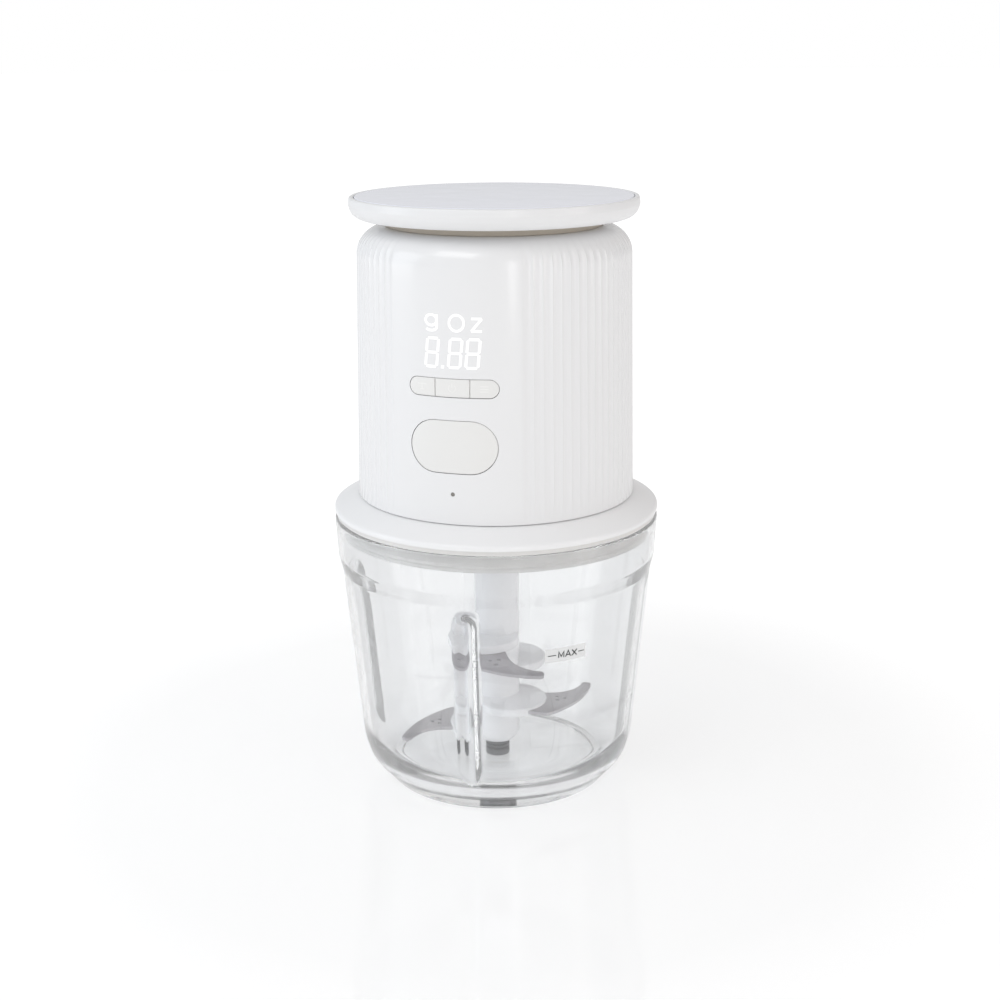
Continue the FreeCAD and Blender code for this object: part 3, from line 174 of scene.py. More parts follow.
class ChopperBlades(bpy.types.PropertyGroup):
    """Sizes of the blades and their spindle."""

    reach: length("Reach", "Tip from the axis", 37.5)
    thickness: length("Steel", "Thickness of a blade", 1.3)
    back: number("Back", "Start of a blade's back, as a share of its reach", 0.08)
    root: length("Root", "Where an upper blade bends down, from the axis", 6.3)
    droop: angle("Droop", "Bend of the two upper blades", 10.0)
    turn: angle("Turn", "Second blade, from +X", 17.0)
    crossing: angle("Crossing", "From the lower pair to the upper pair", 104.0)
    radius: length("Spindle", "Radius of the spindle", 8.5)
    foot_radius: length("Spindle foot", "Radius of its lower end", 6.6)
    boss: length("Boss", "Radius of a blade's round root", 13.5)
    boss_offset: length("Boss place", "Middle of that root from the axis", 8.5)
    boss_turn: angle("Boss turn", "Root's direction from the blade's", -52.0)
    boss_thickness: length("Boss thickness", "Thickness of that root", 3.2)
    hole: length("Hole", "Radius of each of a blade's three holes", 0.75)
    hole_place: length("Hole place", "Middle of the holes along the blade", 23.8)
    hole_drop: length("Hole drop", "Middle of the holes across the blade", 6.7)
    hole_spread: length("Hole spread", "A hole from the middle of the three", 1.95)
    edge: length("Edge", "Softening of a blade's edges", 0.18)
    socket: length("Socket", "Corner of the six-sided socket from the axis", 6.93)
    socket_depth: length("Socket depth", "Depth of the socket", 15.0)


class ChopperHousing(bpy.types.PropertyGroup):
    """Sizes of the motor unit, the lid and the tray."""

    wall: length("Wall", "Thickness of the housing", 2.4)
    top_radius: length("Top", "Radius under the shoulder", 49.3)
    shoulder: length("Shoulder", "Rounding of the shoulder", 10.0)
    neck: length("Neck", "Opening in the top", 33.2)
    flutes: IntProperty(name="Flutes", description="Flutes round the sides and back", default=76, min=8)
    flute_depth: length("Flute depth", "Depth of a flute", 0.36)
    panel_half: angle("Panel", "Half of the smooth front", 28.0)
    gap: length("Gap", "Gap round keys and button", 0.2)
    seam: length("Seam", "Housing's lower edge above the lid", 0.2)
    lid_crown_radius: length("Lid crown", "Where the lid's slope ends", 51.4)
    lid_edge: length("Lid edge", "Upright edge of the lid", 1.9)
    lid_skirt_radius: length("Lid skirt", "Outside of the lid's skirt", 54.6)
    lid_skirt_wall: length("Skirt wall", "Thickness of the lid's skirt", 2.2)
    well_radius: length("Well", "Lid's well for the motor unit", 47.7)
    well_depth: length("Well depth", "Depth of the lid's well", 4.8)
    well_floor: length("Well floor", "Floor of the lid's well", 2.4)
    hub_radius: length("Hub", "Hole in the lid's middle", 11.4)
    hub_wall: length("Hub wall", "Collar round that hole", 2.4)
    hub_drop: length("Hub drop", "Collar below the well's floor", 7.2)
    seal_lip: length("Seal lip", "Tip of the seal's lip from the axis", 56.8)
    window_depth: length("Window depth", "How far the key windows are cut in", 9.0)
    light_hole: length("Light hole", "Width of the status light's hole", 1.5)
    tray_wall: length("Tray rim", "Width of the tray's rim", 1.9)
    tray_floor: length("Tray floor", "Floor of the tray", 2.2)
    plate_thickness: length("Plate", "Thickness of the weighing plate", 2.2)
    tray_shelf: length("Tray shelf", "Width of the shelf under the plate", 4.0)
    tray_boss: length("Tray boss", "Radius of the boss under the plate's middle", 9.0)
    gasket_width: length("Gasket", "Width of the rubber ring under the tray", 4.4)
    flap_corner: length("Flap corner", "Rounding of the port flap's corners", 1.2)
    flap_sink: length("Flap sink", "Flap's face behind the housing's", 0.5)


class ChopperPanel(bpy.types.PropertyGroup):
    """Sizes of the keys and of the marks on the front."""

    button_width: length("Button", "Width of the chop button", 31.0)
    button_tall: length("Button height", "Height of the chop button", 18.3)
    strip_width: length("Strip", "Width of the key strip", 31.6)
    strip_tall: length("Strip height", "Height of the key strip", 6.2)
    middle_width: length("Middle key", "Width of the middle key", 12.1)
    rounding: length("Edge", "Rounding of the chop button's edge", 0.35)
    key_rounding: length("Key edge", "Rounding of a small key's edge", 0.22)
    dish: length("Dish", "Hollow of the chop button", 0.35)
    key_thickness: length("Key thickness", "Thickness of a key's cap", 3.4)
    digit_width: length("Digit", "Width of a digit", 5.1)
    digit_tall: length("Digit height", "Height of a digit", 10.6)
    segment: length("Segment", "Width of a digit's segment", 0.95)
    digit_low: length("Digits place", "Foot of the digits", 165.2)
    unit_low: length("Units place", "Foot of the unit letters", 177.5)
    unit_stroke: length("Unit stroke", "Width of a unit letter's stroke", 0.85)
    slant: angle("Slant", "Lean of the digits", 5.0)


class ChopperStage(bpy.types.PropertyGroup):
    """Camera and lamps."""

    lens: number("Lens", "Focal length in millimetres", 57.6)
    distance: length("Distance", "Camera from the axis, level", 575.0)
    height: length("Height", "Camera above the floor", 271.6)
    azimuth: angle("Azimuth", "Camera's side, from the front towards +X", 17.0)
    pitch: angle("Pitch", "Camera's look down", 16.1)
    yaw: angle("Yaw", "Camera's turn to the right", 0.143)
    roll: angle("Roll", "Camera's lean", -0.35)
    sky: number("Sky", "Strength of the surrounding light", 0.67)
    key: number("Overhead lamp", "Watts", 4.6)
    left: number("Left lamp", "Watts", 6.4)
    right: number("Right lamp", "Watts", 4.2)
    strip: number("Strip lamp", "Watts", 2.0)
    glow: number("Floor glow", "Light that the floor gives by itself", 0.51)
    far_glow: number("Far floor glow", "The same where the floor is far away", 0.8)
    shine_near: length("Shine", "Floor's full shine up to here", 150.0)
    shine_far: length("Shine's end", "Floor without shine from here", 450.0)


# ---------------------------------------------------------------- mesh helpers

def rounded(bends, step=math.radians(7)):
    """Points of an outline from (radius, height, rounding) bends; a rounding becomes an arc."""
    points = []
    for i, corner in enumerate(bends):
        here = Vector(corner[:2])
        if len(corner) < 3:
            points.append(here)
            continue
        come = (here - Vector(bends[i - 1][:2])).normalized()
        leave = (Vector(bends[(i + 1) % len(bends)][:2]) - here).normalized()
        turn = math.atan2(come.x * leave.y - come.y * leave.x, come.dot(leave))
        start = here - come * corner[2] * math.tan(abs(turn) / 2)
        centre = start + Vector((-come.y, come.x)) * math.copysign(corner[2], turn)
        parts = max(2, math.ceil(abs(turn) / step))
        for k in range(parts + 1):
            points.append(centre + Matrix.Rotation(turn * k / parts, 2) @ (start - centre))
    return points


def finer(points, longest):
    """The same outline with no straight run longer than this."""
    result = [points[0]]
    for here, there in zip(points, points[1:]):
        parts = max(1, math.ceil((there - here).length / longest))
        result += [here.lerp(there, k / parts) for k in range(1, parts + 1)]
    return result


def round_angles(count):
    """Evenly spaced angles round the axis."""
    return [2 * math.pi * k / count for k in range(count)]


def to_object(name, bm, sharp=32):
    """An object from a bmesh, smooth except at edges sharper than this many degrees."""
    bmesh.ops.recalc_face_normals(bm, faces=bm.faces)
    mesh = bpy.data.meshes.new(name)
    bm.to_mesh(mesh)
    bm.free()
    mesh.shade_smooth()
    mesh.set_sharp_from_angle(angle=math.radians(sharp))
    piece = bpy.data.objects.new(name, mesh)
    bpy.context.scene.collection.objects.link(piece)
    return piece


ON_AXIS = 1e-7  # nearer to the axis than this, a point is one point for all angles


def lathe_into(bm, outline, angles, shape=None, ring=False):
    """Turns an outline round the axis; shape(angle, index, point) may give another radius."""
    poles = {}
    columns = []
    for turn in angles:
        column = []
        for index, point in enumerate(outline):
            if point.x < ON_AXIS:
                if index not in poles:
                    poles[index] = bm.verts.new((0, 0, point.y))
                column.append(poles[index])
                continue
            radius = shape(turn, index, point) if shape else point.x
            column.append(bm.verts.new((radius * math.sin(turn), -radius * math.cos(turn), point.y)))
        columns.append(column)
    rows = len(outline)
    spans = [(i, (i + 1) % rows) for i in range(rows if ring else rows - 1)]
    for here, there in zip(columns, columns[1:] + columns[:1]):
        for i, j in spans:
            around = [here[i], there[i], there[j], here[j]]
            around = [v for k, v in enumerate(around) if v not in around[:k]]
            if len(around) > 2:
                bm.faces.new(around)


def lathe(name, bends, steps=256, ring=True, sharp=32):
    """A turned piece from the bends of its outline."""
    bm = bmesh.new()
    lathe_into(bm, rounded(bends), round_angles(steps), ring=ring)
    return to_object(name, bm, sharp)


def settle(piece):
    """Turns a piece's modifiers into mesh."""
    bpy.context.view_layer.update()
    seen = piece.evaluated_get(bpy.context.evaluated_depsgraph_get())
    mesh = bpy.data.meshes.new_from_object(seen)
    piece.modifiers.clear()
    piece.data = mesh
    return piece


def carve(piece, *cutters, sharp=32):
    """Takes the cutters out of a piece and removes them."""
    for cutter in cutters:
        tool = piece.modifiers.new("carve", "BOOLEAN")
        tool.operation = "DIFFERENCE"
        tool.solver = "EXACT"
        tool.object = cutter
    settle(piece)
    piece.data.shade_smooth()
    piece.data.set_sharp_from_angle(angle=math.radians(sharp))
    for cutter in cutters:
        bpy.data.objects.remove(cutter)
    return piece


def stadium(width, tall, arc_steps=24):
    """Corner points of a slot with round ends, about the middle."""
    radius = tall / 2
    half = width / 2 - radius
    points = []
    for side, start in ((1, -90), (-1, 90)):
        for k in range(arc_steps + 1):
            turn = math.radians(start + 180 * k / arc_steps)
            points.append(Vector((side * half + radius * math.cos(turn), radius * math.sin(turn))))
    return points


def push(bm, faces, way):
    """Gives flat faces a depth along a way."""
    moved = bmesh.ops.extrude_face_region(bm, geom=faces)["geom"]
    bmesh.ops.translate(bm, vec=way, verts=[v for v in moved if isinstance(v, bmesh.types.BMVert)])


def slab_into(bm, points, near, far, middle=(0.0, 0.0)):
    """A block along Y whose outline in X and Z is given; returns the edges of its near face."""
    verts = [bm.verts.new((p.x + middle[0], near, p.y + middle[1])) for p in points]
    face = bm.faces.new(verts)
    push(bm, [face], (0, far - near, 0))
    return list(face.edges)


def ribbon_into(bm, spots, width, thickness, closed=False):
    """A thin flat stroke in X and Z along points, its face at Y = -thickness."""
    count = len(spots)
    sides = []
    for i, spot in enumerate(spots):
        before = spots[i - 1] if closed or i else spot
        after = spots[(i + 1) % count] if closed or i < count - 1 else spot
        ways = [w.normalized() for w in (spot - before, after - spot) if w.length > 0]
        along = sum(ways, Vector((0, 0))).normalized()
        normal = Vector((-along.y, along.x)) * width / 2 / max(0.5, along.dot(ways[0]))
        sides.append([bm.verts.new((p.x, 0, p.y)) for p in (spot - normal, spot + normal)])
    ends = sides[1:] + (sides[:1] if closed else [])
    faces = [bm.faces.new((a[0], b[0], b[1], a[1])) for a, b in zip(sides, ends)]
    push(bm, faces, (0, -thickness, 0))


def spoke(turn):
    """One step from the middle in a direction, in the flat."""
    return Vector((math.cos(turn), math.sin(turn)))


def oval(centre, wide, tall, start, turn, steps):
    """Points along part of an oval."""
    return [Vector((centre[0] + wide / 2 * math.cos(a), centre[1] + tall / 2 * math.sin(a)))
            for a in (start + turn * k / steps for k in range(steps + 1))]


def slab(name, points, near, far, middle=(0.0, 0.0)):
    """That block as an object."""
    bm = bmesh.new()
    slab_into(bm, points, near, far, middle)
    return to_object(name, bm)


def box_between(name, corner, other):
    """A plain block for cutting."""
    bm = bmesh.new()
    bmesh.ops.create_cube(bm, size=1)
    size = Vector(other) - Vector(corner)
    bmesh.ops.scale(bm, vec=size, verts=bm.verts)
    bmesh.ops.translate(bm, vec=(Vector(corner) + Vector(other)) / 2, verts=bm.verts)
    return to_object(name, bm)


def wall_at(z):
    """Outside of the housing's straight wall at a height."""
    foot, top = corners("housing_shell")
    kit = bpy.context.scene.chopper_housing
    slope = (top.y - kit.top_radius) / (top.z - foot.z - kit.shoulder)
    return top.y - slope * (z - foot.z)


def housing_radius():
    """Outside of the housing at its lower edge."""
    return corners("housing_shell")[1].y


def follow_wall(bm, lift=0.0):
    """Bends a flat front onto the housing: Y then counts from the wall, and its depth stays."""
    for vert in bm.verts:
        radius = wall_at(vert.co.z) + lift
        vert.co.y -= math.sqrt(radius ** 2 - vert.co.x ** 2)


STRIP = 0.8 * MM  # width of the strips in which flat work bends


def slice_up(bm, pitch, reach):
    """Cuts a flat block into narrow upright strips so that it can bend."""
    count = int(reach / pitch)
    for k in range(-count, count + 1):
        geom = bm.verts[:] + bm.edges[:] + bm.faces[:]
        bmesh.ops.bisect_plane(bm, geom=geom, plane_co=(k * pitch, 0, 0), plane_no=(1, 0, 0))


def key_cap(name, points, height, thickness, rounding, dish=0.0):
    """A key whose face follows the housing, with a rounded edge."""
    bm = bmesh.new()
    rim = slab_into(bm, points, 0.0, thickness, (0.0, height))
    bmesh.ops.bevel(bm, geom=rim, offset=rounding, segments=4, profile=0.5, affect="EDGES")
    reach = max(abs(p.x) for p in points)
    slice_up(bm, STRIP, reach)
    if dish:
        tall = max(abs(p.y) for p in points)
        for vert in bm.verts:
            share = 1 - min(1, (vert.co.x / reach) ** 2 + ((vert.co.z - height) / tall) ** 2)
            if vert.co.y < rounding:
                vert.co.y += dish * share
    follow_wall(bm)
    return to_object(name, bm, 50)


def dress(piece, finish):
    """Gives a piece or a CAD node one finish."""
    if not piece.material_slots:
        piece.data.materials.append(finish)
    for place in piece.material_slots:
        place.link = "OBJECT"
        place.material = finish


def seat(piece, body, slot, finish, *nodes):
    """Puts a finished piece on its body, in place of its CAD nodes; the slot is not used."""
    dress(piece, finish)
    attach(piece, body)
    if nodes:
        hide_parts(*nodes)
    return piece


# ---------------------------------------------------------------- finishes

def shader(name):
    """A new material, its tree and its main shader."""
    material = bpy.data.materials.new(name)
    material.use_nodes = True
    return material, material.node_tree, material.node_tree.nodes["Principled BSDF"]


def grain(tree, scale, stretch=(1, 1, 1), detail=3.0):
    """Noise in the piece's own space."""
    place = tree.nodes.new("ShaderNodeTexCoord")
    mapping = tree.nodes.new("ShaderNodeMapping")
    mapping.inputs["Scale"].default_value = stretch
    noise = tree.nodes.new("ShaderNodeTexNoise")
    noise.inputs["Scale"].default_value = scale
    noise.inputs["Detail"].default_value = detail
    tree.links.new(place.outputs["Object"], mapping.inputs["Vector"])
    tree.links.new(mapping.outputs["Vector"], noise.inputs["Vector"])
    return noise.outputs["Fac"]


def between(tree, factor, first, last):
    """A number or colour between two, by a factor."""
    plain = isinstance(first, float)
    mix = tree.nodes.new("ShaderNodeMix")
    mix.data_type = "FLOAT" if plain else "RGBA"
    inputs = [s for s in mix.inputs if s.enabled]
    tree.links.new(factor, inputs[0])
    inputs[1].default_value = first if plain else (*first, 1)
    inputs[2].default_value = last if plain else (*last, 1)
    return next(s for s in mix.outputs if s.enabled)


def relief(tree, factor, depth, strength=1.0):
    """Fine bumps from a factor."""
    bump = tree.nodes.new("ShaderNodeBump")
    bump.inputs["Strength"].default_value = strength
    bump.inputs["Distance"].default_value = depth
    tree.links.new(factor, bump.inputs["Height"])
    return bump.outputs["Normal"]


def shaded(base, share):
    """A colour made darker or lighter by a share."""
    return tuple(max(0.0, min(1.0, c * share)) for c in base)


def moulded(name, base, roughness, coat=0.0, depth=0.004, spread=0.05):
    """Moulded plastic: faint flow marks in the colour, uneven gloss and a fine grain."""
    material, tree, main = shader(name)
    link = tree.links.new
    link(between(tree, grain(tree, 14, (1, 1, 0.4)), shaded(base, 0.985), shaded(base, 1.01)),
         main.inputs["Base Color"])
    link(between(tree, grain(tree, 90), roughness - spread, roughness + spread), main.inputs["Roughness"])
    link(relief(tree, grain(tree, 2600, detail=1.0), depth * MM), main.inputs["Normal"])
    main.inputs["IOR"].default_value = 1.48
    main.inputs["Coat Weight"].default_value = coat
    main.inputs["Coat Roughness"].default_value = 0.07
    return material


def metal(name, base, roughness, stretch=(1, 1, 1), scale=900, depth=0.004):
    """Metal with fine grinding marks along one way."""
    material, tree, main = shader(name)
    link = tree.links.new
    marks = grain(tree, scale, stretch, 4.0)
    link(between(tree, marks, shaded(base, 0.86), shaded(base, 1.12)), main.inputs["Base Color"])
    link(between(tree, marks, roughness - 0.08, roughness + 0.1), main.inputs["Roughness"])
    link(relief(tree, marks, depth * MM), main.inputs["Normal"])
    main.inputs["Metallic"].default_value = 1.0
    return material


def rubber(name, base, roughness=0.62):
    """Silicone or rubber with a dusty, matte skin."""
    material, tree, main = shader(name)
    link = tree.links.new
    link(between(tree, grain(tree, 160), shaded(base, 0.93), shaded(base, 1.05)), main.inputs["Base Color"])
    link(between(tree, grain(tree, 400), roughness - 0.06, roughness + 0.06), main.inputs["Roughness"])
    link(relief(tree, grain(tree, 3500, detail=1.0), 0.01 * MM), main.inputs["Normal"])
    main.inputs["Sheen Weight"].default_value = 0.15
    return material


def clear_plastic(name, tint, ior=1.42):
    """Clear plastic with the faint waves of a moulding; lamps shine through it."""
    material, tree, main = shader(name)
    link = tree.links.new
    main.inputs["Base Color"].default_value = (*tint, 1)
    main.inputs["Transmission Weight"].default_value = 1.0
    main.inputs["IOR"].default_value = ior
    main.inputs["Alpha"].default_value = 0.9
    link(between(tree, grain(tree, 60), 0.0, 0.03), main.inputs["Roughness"])
    link(relief(tree, grain(tree, 28, (1, 1, 0.35), 1.0), 0.05 * MM, 0.6), main.inputs["Normal"])
    through = tree.nodes.new("ShaderNodeBsdfTransparent")
    through.inputs["Color"].default_value = (*shaded(tint, 0.95), 1)
    path = tree.nodes.new("ShaderNodeLightPath")
    mix = tree.nodes.new("ShaderNodeMixShader")
    link(path.outputs["Is Shadow Ray"], mix.inputs["Fac"])
    link(main.outputs["BSDF"], mix.inputs[1])
    link(through.outputs["BSDF"], mix.inputs[2])
    link(mix.outputs["Shader"], tree.nodes["Material Output"].inputs["Surface"])
    return material


def frosted(name, base):
    """Frosted film: milky, and lets some light through."""
    material, tree, main = shader(name)
    tree.links.new(between(tree, grain(tree, 1500), shaded(base, 0.96), base), main.inputs["Base Color"])
    main.inputs["Roughness"].default_value = 0.6
    main.inputs["Alpha"].default_value = 0.4
    return material


def lit(name, base, strength):
    """A mark lit from behind through the shell."""
    material, tree, main = shader(name)
    tree.links.new(between(tree, grain(tree, 700), shaded(base, 0.97), base), main.inputs["Emission Color"])
    main.inputs["Base Color"].default_value = (*shaded(base, 0.1), 1)
    main.inputs["Emission Strength"].default_value = strength
    main.inputs["Roughness"].default_value = 0.5
    return material


def board(name, base):
    """Circuit board: woven glass under a green mask."""
    material, tree, main = shader(name)
    link = tree.links.new
    weave = grain(tree, 1200, (1, 1, 0.2), 2.0)
    link(between(tree, weave, shaded(base, 0.8), shaded(base, 1.15)), main.inputs["Base Color"])
    link(relief(tree, weave, 0.02 * MM), main.inputs["Normal"])
    main.inputs["Roughness"].default_value = 0.35
    return material


# ---------------------------------------------------------------- bowl

def bowl_outline(kit):
    """Outline from the foot's middle up to the rim and down inside, and where its inside starts."""
    rim_radius, rim = high("bowl").x, high("bowl").z
    collar = rim - kit.collar_depth
    ledge = collar - kit.ledge_drop
    slope = (kit.shoulder_radius - kit.heel_radius) / (ledge - kit.heel_height)
    inner_low = kit.heel_radius + slope * (kit.floor - kit.heel_height) - kit.wall
    outside = rounded([
        (0, kit.recess), (kit.recess_radius, kit.recess, 0.4 * MM), (kit.recess_radius + MM, 0, 0.4 * MM),
        (kit.foot_radius, 0, 0.8 * MM), (kit.knuckle_radius, kit.knuckle_height, 12 * MM),
        (kit.heel_radius, kit.heel_height, 25 * MM), (kit.shoulder_radius, ledge, 6 * MM),
        (kit.collar_radius, collar, 4 * MM), (rim_radius, rim - 3 * MM), (rim_radius, rim, 0.9 * MM),
        (rim_radius - kit.wall, rim, 0.9 * MM), (rim_radius - kit.wall, rim - 3 * MM)], math.radians(4))
    inside = rounded([
        (rim_radius - kit.wall, rim - 3 * MM), (kit.collar_radius - kit.wall + 0.4 * MM, collar, 4 * MM),
        (kit.shoulder_radius - kit.wall, ledge, 6 * MM), (inner_low, kit.floor, kit.inner_rounding),
        (0, kit.floor)], math.radians(3))
    outside = finer(outside, 5 * MM)
    inside = finer(inside[1:], 1.2 * MM)
    return outside + inside, len(outside), inner_low, ledge


def make_bowl():
    """Clear bowl with its inner ribs, as one closed skin."""
    kit = bpy.context.scene.chopper_bowl
    outline, inside, wall_low, ledge = bowl_outline(kit)
    wall_high = kit.shoulder_radius - kit.wall
    rib_angles = [kit.rib_angle + 2 * math.pi * k / kit.ribs for k in range(kit.ribs)]
    half = kit.rib_radius + kit.rib_blend
    depth = kit.rib_radius - kit.rib_sink
    fine, reach = math.radians(0.2), 34

    def shape(turn, index, point):
        if index < inside or point.y > ledge:
            return point.x
        wall = wall_low + (wall_high - wall_low) * (point.y - kit.floor) / (ledge - kit.floor)
        fade = min(1.0, (ledge - point.y) / kit.rib_fade)
        fade *= fade * (3 - 2 * fade)
        for rib in rib_angles:
            off = math.remainder(turn - rib, 2 * math.pi)
            share = wall * math.sin(off) / half
            if abs(off) < math.pi / 2 and abs(share) < 1:
                return point.x - max(0.0, depth * fade * (1 - share ** 2) ** 2 - (wall - point.x))
        return point.x

    angles = set(round_angles(240))
    for rib in rib_angles:
        angles |= {(rib + k * fine) % (2 * math.pi) for k in range(-reach, reach + 1)}
    bm = bmesh.new()
    lathe_into(bm, outline, sorted(angles), shape)
    return to_object("clear_bowl", bm, 24)


def bowl_wall(z):
    """Outside radius of the bowl's straight wall at a height."""
    kit = bpy.context.scene.chopper_bowl
    ledge = high("bowl").z - kit.collar_depth - kit.ledge_drop
    share = (z - kit.heel_height) / (ledge - kit.heel_height)
    return kit.heel_radius + (kit.shoulder_radius - kit.heel_radius) * share


def wrap_on_bowl(bm, turn, lift):
    """Lays flat work (X across, Z up, Y thickness) on the bowl's wall round an angle."""
    for vert in bm.verts:
        x, y, z = vert.co
        radius = bowl_wall(z) + lift - y
        around = turn + x / radius
        vert.co = (radius * math.sin(around), -radius * math.cos(around), z)


# left edge in millimetres and strokes, in shares of a letter's width and height
FILL_WORD = ((-2.9, [((0, 0), (0, 1), (0.5, 0.2), (1, 1), (1, 0))]),
             (-0.2, [((0, 0), (0.5, 1), (1, 0)), ((0.22, 0.32), (0.78, 0.32))]),
             (2.3, [((0, 0), (1, 1)), ((0, 1), (1, 0))]))
FILL_DASHES = ((-7.0, -3.9), (5.0, 7.4))


class CHOPPER_OT_bowl(bpy.types.Operator):
    """Build the clear bowl, its pin and its fill mark"""

    bl_idname = "chopper.bowl"
    bl_label = "Bowl"

    def execute(self, context):
        colours, kit = context.scene.chopper_colours, context.scene.chopper_bowl
        seat(make_bowl(), "bowl", "clear_bowl", clear_plastic("Clear moulding", colours.clear), "bowl")
        pin_low, pin_high = low("bowl_pin"), high("bowl_pin")
        collar, rod = pin_high.x, kit.pin_radius
        collar_top = kit.floor + kit.pin_collar_tall
        neck = collar - kit.pin_groove
        outline = [(0, pin_low.z), (collar, pin_low.z, 0.3 * MM)]
        for groove in (kit.floor + 0.8 * MM, kit.floor + 2.5 * MM):
            outline += [(collar, groove, 0.25 * MM), (neck, groove + 0.3 * MM), (neck, groove + 0.7 * MM),
                        (collar, groove + 1.0 * MM, 0.25 * MM)]
        outline += [(collar, collar_top, 0.5 * MM), (rod, collar_top), (rod, pin_high.z, 0.6 * MM),
                    (0, pin_high.z)]
        pin = lathe("pivot_pin", outline, 96, ring=False)
        seat(pin, "bowl", "pin_steel", metal("Dark steel", colours.pin, 0.28, (1, 1, 8)), "bowl_pin")
        self.fill_mark(colours, kit)
        return {"FINISHED"}

    def fill_mark(self, colours, kit):
        """Frosted label with a fill line and the word for full."""
        bm = bmesh.new()
        bmesh.ops.create_grid(bm, x_segments=24, y_segments=4, size=0.5)
        for vert in bm.verts:
            vert.co = (vert.co.x * kit.label_width, 0, vert.co.y * kit.label_tall + kit.label_height)
        push(bm, bm.faces[:], (0, -0.04 * MM, 0))
        wrap_on_bowl(bm, kit.label_angle, 0.02 * MM)
        seat(to_object("fill_label", bm), "bowl", "clear_bowl", frosted("Frosted film", (0.86, 0.86, 0.85)))
        bm = bmesh.new()
        film = 0.03 * MM
        for left, lines in FILL_WORD:
            for line in lines:
                ribbon_into(bm, [Vector((left * MM + x * kit.letter_width,
                                         kit.label_height + (z - 0.5) * kit.letter_tall)) for x, z in line],
                            kit.ink, film)
        for ends in FILL_DASHES:
            ribbon_into(bm, [Vector((x * MM, kit.label_height)) for x in ends], kit.dash_ink, film)
        slice_up(bm, 1.0 * MM, kit.label_width / 2)
        wrap_on_bowl(bm, kit.label_angle, 0.08 * MM)
        seat(to_object("fill_print", bm), "bowl", "clear_bowl", moulded("Black print", colours.mark, 0.5))


# ---------------------------------------------------------------- blade set

def blade_plan(kit):
    """Outline of a blade that points along +X, from three arcs and three straight runs."""
    named = {name: Vector((x, y)) * kit.reach for name, x, y in (
        ("heel", 0.491, -0.557), ("belly", 0.827, -0.200), ("tip_outer", 0.981, 0.192), ("tip", 0.944, 0.232),
        ("tip_inner", 0.888, 0.219), ("hollow", 0.763, 0.037), ("neck_end", 0.547, -0.032),
        ("neck_root", 0.147, -0.027), ("back_root", kit.back, -0.427))}
    return (arc_through(named["heel"], named["belly"], named["tip_outer"], 28)
            + arc_through(named["tip_outer"], named["tip"], named["tip_inner"], 6)[1:]
            + arc_through(named["tip_inner"], named["hollow"], named["neck_end"], 18)[1:]
            + [named["neck_root"], named["back_root"]])


def arc_through(first, middle, last, steps):
    """Points on the circle through three points."""
    spots = (first, middle, last)
    pairs = [(spots[i], spots[(i + 1) % 3] - spots[(i + 2) % 3]) for i in range(3)]
    twice = 2 * sum(spot.x * side.y for spot, side in pairs)
    centre = Vector((sum(spot.length_squared * side.y for spot, side in pairs),
                     -sum(spot.length_squared * side.x for spot, side in pairs))) / twice
    start, through, end = (math.atan2(*(spot - centre).yx) for spot in spots)
    turn = (end - start) % (2 * math.pi)
    if (through - start) % (2 * math.pi) > turn:
        turn -= 2 * math.pi
    radius = (first - centre).length
    return [centre + radius * spoke(start + turn * k / steps) for k in range(steps + 1)]


def make_blade(name, turn, droop):
    """Steel blade with three holes and softened edges, bent down at its root."""
    kit = bpy.context.scene.chopper_blades
    thickness = kit.thickness
    lift = (kit.root - kit.back * kit.reach) * math.sin(droop) - (1 - math.cos(droop)) * thickness / 2
    base = high(name).z - thickness - lift
    bm = bmesh.new()
    loops = [blade_plan(kit)]
    for k in range(3):
        spot = Vector((kit.hole_place, -kit.hole_drop)) + kit.hole_spread * spoke(2 * math.pi * k / 3)
        loops.append([spot + kit.hole * spoke(-turn) for turn in round_angles(16)])
    edges = []
    for loop in loops:
        verts = [bm.verts.new((p.x, p.y, 0)) for p in loop]
        edges += [bm.edges.new((a, b)) for a, b in zip(verts, verts[1:] + verts[:1])]
    bmesh.ops.triangle_fill(bm, use_beauty=True, use_dissolve=True, edges=edges)
    push(bm, bm.faces[:], (0, 0, thickness))
    bmesh.ops.recalc_face_normals(bm, faces=bm.faces)
    rims = [e for e in bm.edges if len(e.link_faces) == 2 and e.calc_face_angle(0) > 1.2]
    bmesh.ops.bevel(bm, geom=rims, offset=kit.edge, segments=2, profile=0.5, affect="EDGES")
    bmesh.ops.rotate(bm, cent=(kit.root, 0, thickness / 2), matrix=Matrix.Rotation(droop, 3, "Y"),
                     verts=bm.verts)
    bmesh.ops.rotate(bm, matrix=Matrix.Rotation(turn, 3, "Z"), verts=bm.verts)
    bmesh.ops.translate(bm, vec=(0, 0, base), verts=bm.verts)
    return to_object("steel_" + name, bm, 25), base + thickness / 2


